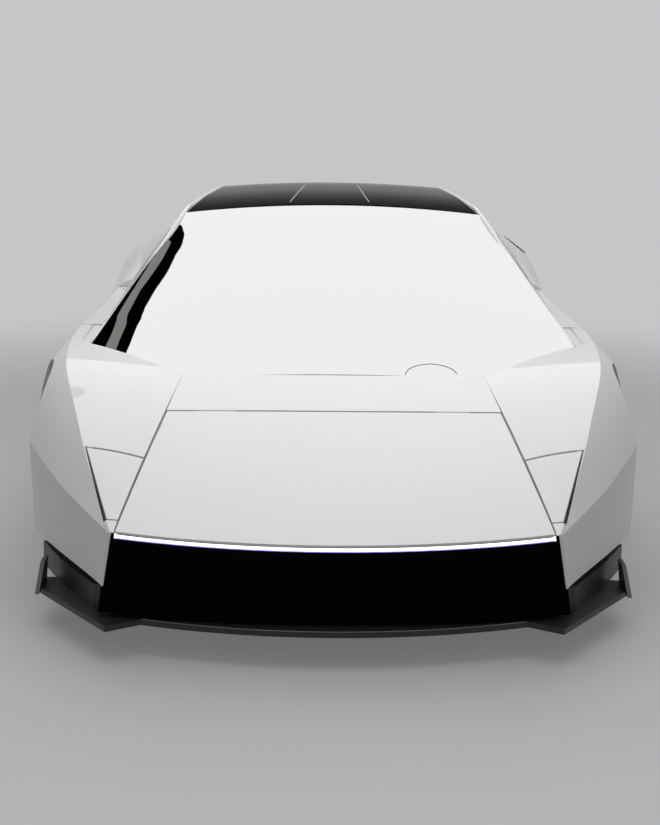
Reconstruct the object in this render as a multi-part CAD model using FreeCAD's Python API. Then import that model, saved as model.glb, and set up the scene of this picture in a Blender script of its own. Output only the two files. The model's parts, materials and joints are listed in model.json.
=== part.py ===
"""A low wedge-shaped supercar with its engine behind the seats, as an assembly of separate pieces.

Frame: +Z up, the nose points along -Y, +X is the car's left side. The origin is on the ground,
under the middle of the car. Lengths are in millimetres.
The body is skinned by rails that run from nose to tail: the shoulder crease, the waist crease and
the hem on each side, and the bonnet edges, the roof rails and the deck edges on top. Panels are lofted
through cross-sections that hang on those rails, and are then cut to their outlines.
Places along the car are shares of its half length, places across it are shares of its half width, and
heights are shares of its height. Gaps, thicknesses, wheels and bulges are sizes of their own.
"""
import FreeCAD, Part
import math
import os
from FreeCAD import Vector

# Overall size
LENGTH = 4600.0
WIDTH = 2000.0
HEIGHT = 1131.0
HALF_LENGTH = LENGTH / 2
HALF_WIDTH = WIDTH / 2

# Gaps and overruns
PANEL_GAP = 3.0
MOVING_GAP = 5.5
HINGE_GAP = 8.5
SEAT_GAP = 0.3
SINK = 1.0
OVERRUN = 60.0

# Hinges: slim barrels that lie in the gap beside a lid, and one barrel on each door's edge
BARREL_RADIUS = 2.6
BARREL_DROP = 3.0
BARREL_LENGTH = 110.0
BARREL_OFFSET = BARREL_RADIUS + SEAT_GAP
DOOR_BARREL_RADIUS = 5.0
DOOR_BARREL_LENGTH = 60.0
DOOR_TILT = 21.0
DOOR_AXIS_X = 0.9995 * HALF_WIDTH
DOOR_AXIS_Z = 0.3868 * HEIGHT
DOOR_BARREL_RISE = 66.0

# Panel and wall thicknesses
BONNET_THICKNESS = 22.0
BONNET_LIP = 6.0
GLASS_THICKNESS = 6.0
ROOF_THICKNESS = 26.0
LID_THICKNESS = 24.0
DOOR_THICKNESS = 100.0
FLOOR_THICKNESS = 28.0
TRAY_THICKNESS = 16.0
BULKHEAD_THICKNESS = 30.0
MASK_DEPTH = 34.0
SPLITTER_THICKNESS = 16.0

# Wheels
FRONT_AXLE_Y = -0.5435 * HALF_LENGTH
REAR_AXLE_Y = 0.6087 * HALF_LENGTH
FRONT_TRACK = 0.778 * WIDTH
REAR_TRACK = 0.770 * WIDTH
FRONT_TYRE_RADIUS = 312.0
FRONT_TYRE_WIDTH = 235.0
FRONT_RIM_RADIUS = 232.0
REAR_TYRE_RADIUS = 340.0
REAR_TYRE_WIDTH = 305.0
REAR_RIM_RADIUS = 248.0
ARCH_CLEARANCE = 35.0
SPOKES = 10
DISC_RADIUS = 178.0
DISC_THICKNESS = 30.0
AXLE_RADIUS = 32.0
KINGPIN_INSET = 48.0
KINGPIN_RADIUS = 11.0
KINGPIN_LENGTH = 230.0

# Structure
GROUND_CLEARANCE = 89.0
TUB_RISE = 3.0
TUB_LOW = GROUND_CLEARANCE + TUB_RISE
TUB_FLOOR = TUB_LOW + FLOOR_THICKNESS
TUB_HALF_WIDTH = 0.450 * HALF_WIDTH
TUB_FRONT_Y = -0.9043 * HALF_LENGTH
BAY_WALL = 14.0
SILL_OUTER = 0.862 * HALF_WIDTH
SILL_TOP = 0.2918 * HEIGHT


def v(x, y, z):
    return Vector(x, y, z)


class Rail:
    """A smooth curve from nose to tail through stations given as shares of the half length, half width and height."""

    def __init__(self, station_shares):
        points = [v(x * HALF_WIDTH, y * HALF_LENGTH, z * HEIGHT) for y, x, z in station_shares]
        self.curve = Part.BSplineCurve()
        self.curve.interpolate(points)

    def at(self, y):
        low, high = self.curve.FirstParameter, self.curve.LastParameter
        for _ in range(40):
            middle = (low + high) / 2
            if self.curve.value(middle).y < y:
                low = middle
            else:
                high = middle
        point = self.curve.value((low + high) / 2)
        return v(point.x, y, point.z)


# Stations are (along, out, up), as shares of the half length, the half width and the height
SHOULDER = Rail([
    (-0.957, 0.606, 0.310), (-0.900, 0.650, 0.361), (-0.809, 0.718, 0.449), (-0.713, 0.776, 0.526),
    (-0.622, 0.826, 0.585), (-0.522, 0.850, 0.619), (-0.391, 0.863, 0.626), (-0.261, 0.867, 0.621),
    (-0.087, 0.868, 0.614), (0.087, 0.872, 0.611), (0.217, 0.884, 0.614), (0.391, 0.915, 0.624),
    (0.609, 0.938, 0.644), (0.783, 0.925, 0.653), (0.940, 0.890, 0.653),
])
WAIST = Rail([
    (-0.957, 0.609, 0.307), (-0.896, 0.693, 0.333), (-0.835, 0.771, 0.357), (-0.765, 0.846, 0.384),
    (-0.700, 0.908, 0.405), (-0.640, 0.951, 0.414), (-0.565, 0.981, 0.412), (-0.478, 0.993, 0.402),
    (-0.391, 0.997, 0.391),
    (-0.174, 0.990, 0.389), (0.043, 0.986, 0.394), (0.261, 0.992, 0.403), (0.478, 1.000, 0.416),
    (0.652, 1.000, 0.428), (0.826, 0.975, 0.446), (0.940, 0.935, 0.460),
])
HEM = Rail([
    (-0.957, 0.630, 0.176), (-0.904, 0.692, 0.181), (-0.861, 0.745, 0.184), (-0.790, 0.822, 0.183),
    (-0.722, 0.886, 0.178), (-0.650, 0.934, 0.172), (-0.522, 0.966, 0.168), (-0.391, 0.975, 0.173),
    (-0.174, 0.975, 0.181), (0.043, 0.975, 0.186), (0.261, 0.982, 0.188), (0.478, 0.988, 0.191),
    (0.652, 0.988, 0.196), (0.826, 0.962, 0.217), (0.940, 0.915, 0.256),
])
BONNET_EDGE = Rail([
    (-0.960, 0.598, 0.307), (-0.843, 0.560, 0.397), (-0.687, 0.508, 0.501), (-0.574, 0.477, 0.557),
    (-0.470, 0.466, 0.585), (-0.330, 0.460, 0.600),
])
BONNET_RIDGE = Rail([
    (-1.020, 0.0, 0.281), (-0.994, 0.0, 0.300), (-0.848, 0.0, 0.400), (-0.687, 0.0, 0.499),
    (-0.580, 0.0, 0.559), (-0.480, 0.0, 0.610),
])
SCREEN_RIDGE = Rail([
    (-0.640, 0.0, 0.500), (-0.580, 0.0, 0.559), (-0.450, 0.0, 0.688), (-0.300, 0.0, 0.834),
    (-0.161, 0.0, 0.968), (-0.080, 0.0, 1.045),
])
ROOF_RIDGE = Rail([
    (-0.230, 0.0, 0.930), (-0.157, 0.0, 0.972), (-0.090, 0.0, 0.989), (0.050, 0.0, 0.9995),
    (0.152, 0.0, 1.000), (0.260, 0.0, 0.988), (0.330, 0.0, 0.972),
])
PILLAR = Rail([
    (-0.498, 0.781, 0.614), (-0.391, 0.702, 0.710), (-0.283, 0.614, 0.828), (-0.174, 0.532, 0.942),
    (-0.110, 0.503, 0.966), (0.000, 0.470, 0.979), (0.120, 0.444, 0.983), (0.220, 0.440, 0.975),
    (0.300, 0.446, 0.959),
])
DECK_EDGE = Rail([
    (0.180, 0.452, 0.977), (0.300, 0.470, 0.953), (0.391, 0.498, 0.922), (0.522, 0.556, 0.871),
    (0.696, 0.622, 0.801), (0.826, 0.655, 0.752), (0.957, 0.668, 0.712),
])
HAUNCH = Rail([
    (0.180, 0.792, 0.640), (0.240, 0.800, 0.668), (0.320, 0.806, 0.722), (0.420, 0.820, 0.733),
    (0.565, 0.838, 0.718), (0.696, 0.832, 0.704), (0.826, 0.806, 0.690), (0.957, 0.770, 0.676),
])


# Shape helpers
def line(a, b):
    return Part.LineSegment(a, b).toShape()


def bulged(a, b, push):
    """A curve from a to b whose middle is pushed sideways: twice half the push gives the pole of a parabola."""
    curve = Part.BezierCurve()
    curve.setPoles([a, (a + b) / 2 + push * 2, b])
    return curve.toShape()


def ring(points):
    """The straight edges of a closed outline."""
    return [line(a, b) for a, b in zip(points, points[1:] + points[:1])]


def polygon(points):
    return Part.Face(Part.makePolygon(points + points[:1]))


def loft(sections, ruled=False):
    return Part.makeLoft([Part.Wire(edges) for edges in sections], True, ruled)


def between(low, high, count):
    return [low + (high - low) * i / (count - 1) for i in range(count)]


def from_shares(shares, y, length, z, height):
    """Turns (along, up) shares into places in a box that starts at y and z."""
    return [(y + along * length, z + up * height) for along, up in shares]


def plan_prism(outline, low, high):
    """Extrudes a closed plan outline of (x, y) points from one height to another."""
    return polygon([v(x, y, low) for x, y in outline]).extrude(v(0, 0, high - low))


def side_prism(outline, inner, outer):
    """Extrudes a closed side outline of (y, z) points sideways."""
    return polygon([v(inner, y, z) for y, z in outline]).extrude(v(outer - inner, 0, 0))


def wire_prism(edges, low, high):
    """Extrudes a closed plan wire made at height zero."""
    face = Part.Face(Part.Wire(edges))
    face.translate(v(0, 0, low))
    return face.extrude(v(0, 0, high - low))


def block(x0, x1, y0, y1, z0, z1):
    return Part.makeBox(x1 - x0, y1 - y0, z1 - z0, v(x0, y0, z0))


def cylinder_x(radius, x0, x1, y, z):
    return Part.makeCylinder(radius, x1 - x0, v(x0, y, z), v(1, 0, 0))


def barrel(x0, x1, y, z, wall_y):
    """A hinge barrel along X, with a web that ties it to the fixed wall beside it."""
    low, high = sorted((y, wall_y + (SINK if wall_y > y else -SINK)))
    web = block(x0, x1, low, high, z - BARREL_RADIUS * 0.6, z + BARREL_RADIUS * 0.6)
    return cylinder_x(BARREL_RADIUS, x0, x1, y, z).fuse(web)


def mirrored(shape):
    return shape.mirror(v(0, 0, 0), v(1, 0, 0))


def flipped(point):
    return v(-point.x, point.y, point.z)


def joined(shapes):
    return shapes[0].fuse(shapes[1:]).removeSplitter() if len(shapes) > 1 else shapes[0]


def save(name, shape):
    solids = shape.Solids
    shape = solids[0] if len(solids) == 1 else Part.makeCompound(solids)
    shape.exportStep(os.path.join("parts", name + ".step"))
    print(name, "solids", len(solids), "volume", round(shape.Volume / 1e6, 2), "valid", shape.isValid())


def save_pair(name, left):
    save(name + "_left", left)
    save(name + "_right", mirrored(left))


def sheet(ridge, stations, half_width, crown, thickness, drop=0.0):
    """A crowned sheet under a ridge line; crown is how far its edges fall below the ridge."""
    sections = []
    for y in stations:
        top = ridge.at(y).z - drop
        low = top - thickness(y)
        fall = crown(y)
        ends = [v(-half_width, y, top - fall), v(half_width, y, top - fall)]
        feet = [v(half_width, y, low - fall), v(-half_width, y, low - fall)]
        sections.append([
            bulged(ends[0], ends[1], v(0, 0, fall)),
            line(ends[1], feet[0]),
            bulged(feet[0], feet[1], v(0, 0, fall)),
            line(feet[1], ends[0]),
        ])
    return loft(sections)


# Bonnet, cowl and nose
NOSE_Y = -0.9935 * HALF_LENGTH
CORNER_Y = -0.9587 * HALF_LENGTH
CORNER_X = 0.598 * HALF_WIDTH
CROSS_GAP_Y = -0.6878 * HALF_LENGTH
BONNET_REAR_Y = CROSS_GAP_Y - HINGE_GAP / 2
COWL_FRONT_Y = CROSS_GAP_Y + HINGE_GAP / 2
BONNET_BARREL_X = 0.300 * HALF_WIDTH
SCREEN_BASE_Y = -0.5800 * HALF_LENGTH
SCREEN_BASE_HALF = 0.477 * HALF_WIDTH
SCREEN_FOOT_Y = -0.4978 * HALF_LENGTH
SCREEN_FOOT_X = 0.776 * HALF_WIDTH
BONNET_HALF = 0.700 * HALF_WIDTH
BONNET_CROWN = 20.0
BONNET_SPREAD = 20.0
LIP_REACH = 260.0
NOSE_GAP = 1.2 * MOVING_GAP
NOSE_LOW = 0.2210 * HEIGHT
NOSE_HIGH = 0.3714 * HEIGHT
LIGHT_HEIGHT = 5.5
LIGHT_PROUD = 1.0
LIGHT_BACK = 16.0
MASK_BOTTOM = 0.1043 * HEIGHT
MASK_RAKE = 30.0
MASK_FRONT = 2.0
MASK_LAP = 4.0
MASK_SPREAD = 44.0


def bonnet_thickness(y):
    share = min(1.0, max(0.0, (y - CORNER_Y) / LIP_REACH))
    return BONNET_LIP + (BONNET_THICKNESS - BONNET_LIP) * share * share * (3 - 2 * share)


def bonnet_crown(y):
    share = min(1.0, max(0.0, (CROSS_GAP_Y - y) / (CROSS_GAP_Y - CORNER_Y)))
    return BONNET_CROWN * share + SINK


BONNET_STATIONS = between(NOSE_Y - BONNET_SPREAD, SCREEN_BASE_Y + 2 * BONNET_SPREAD, 12)


def bonnet_layer(drop, thickness):
    return sheet(BONNET_RIDGE, BONNET_STATIONS, BONNET_HALF, bonnet_crown, thickness, drop)


def nose_arc(back, half, z=0.0):
    """The bowed front line in plan, moved back by some distance."""
    return Part.Arc(v(-half, CORNER_Y + back, z), v(0, NOSE_Y + back, z), v(half, CORNER_Y + back, z)).toShape()


def bonnet_side(y, gap):
    return BONNET_EDGE.at(y).x - gap


def bonnet():
    gap = 1.1 * MOVING_GAP
    rear = BONNET_REAR_Y
    front_half = bonnet_side(CORNER_Y, gap)
    rear_half = bonnet_side(rear, gap)
    edges = [
        nose_arc(0.0, front_half),
        line(v(front_half, CORNER_Y, 0), v(rear_half, rear, 0)),
        line(v(rear_half, rear, 0), v(-rear_half, rear, 0)),
        line(v(-rear_half, rear, 0), v(-front_half, CORNER_Y, 0)),
    ]
    return bonnet_layer(0.0, bonnet_thickness).common(wire_prism(edges, 0.0, HEIGHT))


def cowl():
    gap = PANEL_GAP / 2
    front = COWL_FRONT_Y
    front_half = bonnet_side(front, PANEL_GAP)
    rear_half = SCREEN_BASE_HALF - gap
    outline = plan_prism([
        (-front_half, front), (front_half, front), (rear_half, SCREEN_BASE_Y - gap),
        (-rear_half, SCREEN_BASE_Y - gap),
    ], 0.0, HEIGHT)
    panel = bonnet_layer(0.0, lambda y: BONNET_THICKNESS).common(outline)
    axis_y = BONNET_REAR_Y + BARREL_OFFSET
    axis_z = BONNET_RIDGE.at(BONNET_REAR_Y).z - BARREL_DROP
    pin = barrel(BONNET_BARREL_X, BONNET_BARREL_X + BARREL_LENGTH, axis_y, axis_z, COWL_FRONT_Y)
    return joined([panel, pin, mirrored(pin)])


def nose_band(front, back, half, low, lean, spread):
    """A bowed upright band behind the nose line; its foot lies further back by the lean and is wider."""
    wires = []
    for z, shift, reach in ((low, lean, half + spread), (NOSE_HIGH, 0.0, half)):
        a, b = v(-reach, CORNER_Y + front + shift, z), v(-reach, CORNER_Y + back + shift, z)
        c, d = v(reach, CORNER_Y + front + shift, z), v(reach, CORNER_Y + back + shift, z)
        wires.append([nose_arc(front + shift, reach, z), line(c, d), nose_arc(back + shift, reach, z), line(b, a)])
    return loft(wires, ruled=True)


def light_bar(wings):
    band = nose_band(-LIGHT_PROUD, LIGHT_BACK, CORNER_X - MASK_LAP, NOSE_LOW, 0.0, 0.0)
    layer = bonnet_layer(BONNET_LIP + NOSE_GAP, lambda y: LIGHT_HEIGHT)
    return band.common(layer).cut(wings)


def front_mask(wings):
    band = nose_band(
        MASK_FRONT, MASK_FRONT + MASK_DEPTH, CORNER_X + MASK_LAP, MASK_BOTTOM, MASK_RAKE, MASK_SPREAD,
    )
    above = 3 * OVERRUN
    slab = bonnet_layer(-above, lambda y: above + BONNET_LIP + NOSE_GAP + LIGHT_HEIGHT)
    return band.cut(slab).cut(wings)


# Front splitter and the black lower bumper
LIP_TOP = GROUND_CLEARANCE + SPLITTER_THICKNESS
LIP_Y = -HALF_LENGTH
LIP_END_X = 0.527 * HALF_WIDTH
LIP_END_Y = -0.9557 * HALF_LENGTH
TIP_X = 0.617 * HALF_WIDTH
TIP_Y = -0.9835 * HALF_LENGTH
FIN_X = 0.850 * HALF_WIDTH
FIN_Y = -0.8261 * HALF_LENGTH
FIN_HEIGHT = 64.0
FIN_LENGTH = 150.0
FIN_LEAN = 30.0
FIN_THICKNESS = 12.0
SPLITTER_REAR_X = 0.858 * HALF_WIDTH
SPLITTER_REAR_Y = -0.7826 * HALF_LENGTH


def splitter():
    arc = Part.Arc(v(-LIP_END_X, LIP_END_Y, 0), v(0, LIP_Y, 0), v(LIP_END_X, LIP_END_Y, 0)).toShape()
    right = [(TIP_X, TIP_Y), (FIN_X, FIN_Y), (SPLITTER_REAR_X, SPLITTER_REAR_Y)]
    points = [(LIP_END_X, LIP_END_Y)] + right + [(-x, y) for x, y in reversed(right)] + [(-LIP_END_X, LIP_END_Y)]
    edges = [arc] + [line(v(*a, 0), v(*b, 0)) for a, b in zip(points, points[1:])]
    plate = wire_prism(edges, GROUND_CLEARANCE, LIP_TOP)
    half = FIN_LENGTH / 2
    fin = side_prism([
        (FIN_Y - half, LIP_TOP), (FIN_Y + half, LIP_TOP),
        (FIN_Y + half + FIN_LEAN, LIP_TOP + FIN_HEIGHT), (FIN_Y + half / 2, LIP_TOP + FIN_HEIGHT),
    ], FIN_X - FIN_THICKNESS, FIN_X)
    tub_front = block(-TUB_HALF_WIDTH, TUB_HALF_WIDTH, TUB_FRONT_Y, 0.0, 0.0, HEIGHT)
    return joined([plate.cut(tub_front), fin, mirrored(fin)])


LOWER_BUMPER_TOP = 0.1556 * HEIGHT
LOWER_BUMPER_INSET = 14.0
LOWER_BUMPER_SETBACK = 6.0
LOWER_BUMPER_LAP = 20.0


def lower_bumper():
    front = CORNER_Y + MASK_RAKE + MASK_DEPTH + LOWER_BUMPER_SETBACK
    corner = HEM.at(WING_FRONT_Y).x - LOWER_BUMPER_INSET
    rear = FRONT_AXLE_Y - FRONT_TYRE_RADIUS - ARCH_CLEARANCE - OVERRUN
    outline = [(corner, front)]
    outline += [(HEM.at(y).x - LOWER_BUMPER_INSET, y) for y in between(-0.9130 * HALF_LENGTH, rear, 5)]
    inner = TUB_HALF_WIDTH + LOWER_BUMPER_LAP
    outline += [(inner, rear), (inner, front)]
    side = plan_prism(outline, LIP_TOP, LOWER_BUMPER_TOP)
    reach = inner + LOWER_BUMPER_LAP
    beam = block(-reach, reach, front, TUB_FRONT_Y, LIP_TOP, LOWER_BUMPER_TOP)
    return joined([side, mirrored(side), beam])


# Front wings
WING_LEDGE = 0.5765 * HEIGHT
SCREEN_SHELF = 0.5217 * HEIGHT
LEDGE_FRONT_X = 0.824 * HALF_WIDTH
LEDGE_FRONT_Y = -0.4804 * HALF_LENGTH
LEDGE_REAR_X = 0.829 * HALF_WIDTH
PILLAR_LAP = 12.0
WING_FRONT_Y = -0.957 * HALF_LENGTH
WING_REAR_Y = -0.3348 * HALF_LENGTH
WING_SHELF_DROP = 12.0
CORNER_WALL = 3.0
CORNER_DEPTH = 70.0
WELL_INNER = 0.530 * HALF_WIDTH
WELL_OUTER = 0.824 * HALF_WIDTH
ARCH_INNER = 0.800 * HALF_WIDTH
WELL_HALF_LENGTH = 450.0
WELL_HALF_HEIGHT = 328.0
WELL_TRIM = 30.0
WELL_SIDE_TOP = 0.4421 * HEIGHT
WELL_FLOOR_TOP = 0.1857 * HEIGHT
SIDE_BULGE = 14.0
ARCH_BULGE = 30.0
ARCH_BULGE_Y = -0.600 * HALF_LENGTH
LOWER_BULGE = 3.0
TOP_BULGE = 7.0
BULGE_REACH = 300.0


def outward(a, b, amount):
    """A push square to the line from a to b, in the plane of the section, away from the car's middle."""
    side = v(b.z - a.z, 0, a.x - b.x)
    side.normalize()
    if side.x < 0:
        side = side * -1
    return side * amount


def side_push(shoulder, waist, y):
    """How far the flank bulges between its creases: less where they run together, more over the front wheel."""
    size = min(1.0, (shoulder - waist).Length / BULGE_REACH)
    along = min(1.0, abs(y - ARCH_BULGE_Y) / (WING_REAR_Y - ARCH_BULGE_Y))
    push = SIDE_BULGE + ARCH_BULGE * (1 + math.cos(math.pi * along)) / 2
    return push * size * size


def side_edges(y):
    """The outer side of a section: shoulder to waist to hem."""
    shoulder, waist, hem = SHOULDER.at(y), WAIST.at(y), HEM.at(y)
    return [
        bulged(shoulder, waist, outward(shoulder, waist, side_push(shoulder, waist, y))),
        bulged(waist, hem, outward(waist, hem, LOWER_BULGE)),
    ], shoulder, hem


def wing_section(y):
    edge = BONNET_EDGE.at(y)
    sides, shoulder, hem = side_edges(y)
    width = (shoulder - edge).Length
    foot = v(TUB_HALF_WIDTH, y, hem.z)
    shelf = edge.z - BONNET_THICKNESS - WING_SHELF_DROP
    return [
        bulged(edge, shoulder, v(0, 0, TOP_BULGE * min(1.0, width / BULGE_REACH))),
        *sides,
        line(hem, foot),
        line(foot, v(TUB_HALF_WIDTH, y, shelf)),
        line(v(TUB_HALF_WIDTH, y, shelf), v(edge.x, y, shelf)),
        line(v(edge.x, y, shelf), edge),
    ]


def wheel_well(axle_y, radius, inner, outer, half_length, half_height):
    """A liner space: an ellipse in side view, so that a steered wheel has room lengthwise."""
    curve = Part.Ellipse(v(0, 0, 0), half_length, half_height)
    face = Part.Face(Part.Wire([curve.toShape()]))
    face.rotate(v(0, 0, 0), v(1, 0, 0), 90)
    face.rotate(v(0, 0, 0), v(0, 0, 1), 90)
    face.translate(v(inner, axle_y, radius))
    return face.extrude(v(outer - inner, 0, 0))


def arch(axle_y, radius, inner):
    reach = radius + ARCH_CLEARANCE
    tube = cylinder_x(reach, inner, HALF_WIDTH + OVERRUN, axle_y, radius)
    return tube.fuse(block(inner, HALF_WIDTH + OVERRUN, axle_y - reach, axle_y + reach, 0.0, radius))


def screen_cut(gap):
    """The space that the windscreen and the pillars' feet take out of the wings."""
    front = [
        (0, SCREEN_BASE_Y - gap), (SCREEN_BASE_HALF, SCREEN_BASE_Y - gap), (SCREEN_FOOT_X + gap, SCREEN_FOOT_Y - gap),
    ]
    rear_y = WING_REAR_Y + OVERRUN
    rear = [(LEDGE_FRONT_X, LEDGE_FRONT_Y), (LEDGE_REAR_X, rear_y), (0, rear_y)]
    ledge = plan_prism(front + rear, WING_LEDGE, HEIGHT)
    wide = SCREEN_FOOT_X + PILLAR_LAP + 2 * gap
    foot_y = SCREEN_FOOT_Y + PILLAR_LAP + gap
    shelf = plan_prism(front[:2] + [(wide, SCREEN_FOOT_Y - gap), (wide, foot_y), (0, foot_y)], SCREEN_SHELF, HEIGHT)
    return ledge.fuse(shelf)


# Pop-up headlamps
LAMP_REAR_Y = -0.8096 * HALF_LENGTH
LAMP_REAR_INNER_X = 0.553 * HALF_WIDTH
LAMP_REAR_OUTER_X = 0.709 * HALF_WIDTH
LAMP_FRONT_Y = -0.9339 * HALF_LENGTH
LAMP_FRONT_INNER_X = 0.602 * HALF_WIDTH
LAMP_FRONT_OUTER_X = 0.620 * HALF_WIDTH
LAMP_AXIS_Z = 0.4452 * HEIGHT
LAMP_BARREL_LENGTH = 14.0
LAMP_POD_RADIUS = 195.0
LAMP_POD_DEPTH = 140.0
LAMP_POD_INSET = 26.0
LAMP_POD_FRONT = 40.0
LAMP_POD_REAR = 4.0
LAMP_LID_THICKNESS = 14.0
LAMP_POCKET_FLOOR = 0.3006 * HEIGHT


def lamp_outline(inner, side, front, rear):
    """The lid in plan; its inner side follows the edge of the bonnet opening."""
    low, high = LAMP_FRONT_Y - front, LAMP_REAR_Y + rear
    return [(LAMP_FRONT_OUTER_X + side, low), (LAMP_REAR_OUTER_X + side, high)] + [
        (BONNET_EDGE.at(y).x - inner, y) for y in between(high, low, 6)
    ]


def nose_cut():
    """The room that the mask and the light bar take behind the wings' front corners."""
    top, bottom = SHOULDER.at(WING_FRONT_Y), HEM.at(WING_FRONT_Y)
    start = WING_FRONT_Y - OVERRUN
    outline = [
        v(0, start, 0), v(bottom.x - CORNER_WALL, start, 0), v(bottom.x - CORNER_WALL, start, bottom.z),
        v(top.x - CORNER_WALL, start, top.z - CORNER_WALL), v(0, start, top.z - CORNER_WALL),
    ]
    return polygon(outline).extrude(v(0, CORNER_DEPTH + OVERRUN, 0))


def wing_blank():
    stations = between(WING_FRONT_Y, WING_REAR_Y, 15)
    return loft([wing_section(y) for y in stations]).cut(nose_cut())


def front_wing(blank):
    reach = WELL_HALF_LENGTH - WELL_TRIM
    front, rear = FRONT_AXLE_Y - reach, FRONT_AXLE_Y + reach
    pocket = plan_prism(lamp_outline(SINK, 1.5 * MOVING_GAP, MOVING_GAP, HINGE_GAP), LAMP_POCKET_FLOOR, HEIGHT)
    wing = blank.cut([
        wheel_well(FRONT_AXLE_Y, FRONT_TYRE_RADIUS, WELL_INNER, WELL_OUTER, WELL_HALF_LENGTH, WELL_HALF_HEIGHT),
        arch(FRONT_AXLE_Y, FRONT_TYRE_RADIUS, ARCH_INNER),
        block(WELL_INNER, WELL_OUTER, front, rear, 0.0, WELL_FLOOR_TOP),
        block(0.0, WELL_INNER + SINK, front, rear, 0.0, WELL_SIDE_TOP),
        screen_cut(PANEL_GAP),
        pocket,
    ])
    lamp_pin = barrel(
        LAMP_REAR_OUTER_X - LAMP_BARREL_LENGTH, LAMP_REAR_OUTER_X, LAMP_REAR_Y + BARREL_OFFSET, LAMP_AXIS_Z,
        LAMP_REAR_Y + HINGE_GAP,
    )
    return joined([wing, lamp_pin, door_barrel()])


def door_barrel():
    """The barrel on the wing's rear edge that the door turns about."""
    tilt = math.radians(DOOR_TILT)
    axis = v(-math.sin(tilt), 0, math.cos(tilt))
    y = WING_REAR_Y + MOVING_GAP - DOOR_BARREL_RADIUS - SEAT_GAP
    start = v(DOOR_AXIS_X, y, DOOR_AXIS_Z) + axis * (DOOR_BARREL_RISE - DOOR_BARREL_LENGTH / 2)
    return Part.makeCylinder(DOOR_BARREL_RADIUS, DOOR_BARREL_LENGTH, start, axis)


def headlamp(blank):
    lid = blank.common(plan_prism(lamp_outline(-SEAT_GAP, 0.0, 0.0, 0.0), LAMP_POCKET_FLOOR, HEIGHT))
    under = blank.copy()
    under.translate(v(0, 0, -LAMP_LID_THICKNESS))
    front, rear = LAMP_FRONT_Y + LAMP_POD_FRONT, LAMP_REAR_Y - LAMP_POD_REAR
    pod = plan_prism([
        (LAMP_FRONT_INNER_X, front), (LAMP_FRONT_OUTER_X, front),
        (LAMP_REAR_OUTER_X - LAMP_POD_INSET, rear), (LAMP_REAR_INNER_X + LAMP_POD_INSET, rear),
    ], LAMP_AXIS_Z - LAMP_POD_DEPTH, HEIGHT)
    pod = pod.common(cylinder_x(LAMP_POD_RADIUS, 0.0, HALF_WIDTH, LAMP_REAR_Y, LAMP_AXIS_Z)).common(under)
    return joined([lid.cut(under), pod])


# Windscreen, pillars, roof
SCREEN_HALF = 0.840 * HALF_WIDTH
SCREEN_CROWN = 35.0
SCREEN_START_Y = -0.6304 * HALF_LENGTH
SCREEN_END_Y = -0.0870 * HALF_LENGTH
HEADER_Y = -0.1617 * HALF_LENGTH
HEADER_CORNER_X = 0.527 * HALF_WIDTH
HEADER_CORNER_Y = -0.1748 * HALF_LENGTH
HEADER_GAP = 8.0
PILLAR_WIDTH = 40.0
PILLAR_DEPTH = 46.0
PILLAR_FOOT_Y = -0.4957 * HALF_LENGTH
PILLAR_OUT_SHARES = (0.74, -0.68)
PILLAR_DOWN_SHARES = (-0.35, -0.94)
ROOF_START_Y = -0.2174 * HALF_LENGTH
ROOF_END_Y = 0.3043 * HALF_LENGTH
ROOF_REAR_Y = 0.2783 * HALF_LENGTH
ROOF_CROWN = 34.0
ROOF_HALF = 0.600 * HALF_WIDTH
LID_FRONT_Y = ROOF_REAR_Y + HINGE_GAP
LID_BARREL_X = 0.030 * HALF_WIDTH


def header_arc(shift):
    x, y = HEADER_CORNER_X + PILLAR_LAP, HEADER_CORNER_Y + shift
    return Part.Arc(v(x, y, 0), v(0, HEADER_Y + shift, 0), v(-x, y, 0)).toShape()


def windscreen(rails):
    glass = sheet(
        SCREEN_RIDGE, between(SCREEN_START_Y, SCREEN_END_Y, 7), SCREEN_HALF,
        lambda y: SCREEN_CROWN, lambda y: GLASS_THICKNESS,
    )
    base = [
        (-HEADER_CORNER_X - PILLAR_LAP, HEADER_CORNER_Y), (-SCREEN_FOOT_X - PILLAR_LAP, SCREEN_FOOT_Y),
        (-SCREEN_BASE_HALF, SCREEN_BASE_Y + PANEL_GAP), (SCREEN_BASE_HALF, SCREEN_BASE_Y + PANEL_GAP),
        (SCREEN_FOOT_X + PILLAR_LAP, SCREEN_FOOT_Y), (HEADER_CORNER_X + PILLAR_LAP, HEADER_CORNER_Y),
    ]
    edges = [header_arc(0.0)] + [line(v(*a, 0), v(*b, 0)) for a, b in zip(base, base[1:])]
    return glass.common(wire_prism(edges, 0.0, 2 * HEIGHT)).cut(rails)


def pillar_section(y):
    corner = PILLAR.at(y)
    out = v(PILLAR_WIDTH * PILLAR_OUT_SHARES[0], 0, PILLAR_WIDTH * PILLAR_OUT_SHARES[1])
    down = v(PILLAR_DEPTH * PILLAR_DOWN_SHARES[0], 0, PILLAR_DEPTH * PILLAR_DOWN_SHARES[1])
    return ring([corner, corner + out, corner + out + down, corner + down])


def roof_rail():
    rail = loft([pillar_section(y) for y in between(PILLAR_FOOT_Y, ROOF_REAR_Y, 16)])
    foot = 2.5 * OVERRUN
    return rail.cut(block(0.0, HALF_WIDTH, PILLAR_FOOT_Y - foot, PILLAR_FOOT_Y + foot, 0.0, WING_LEDGE))


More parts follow.
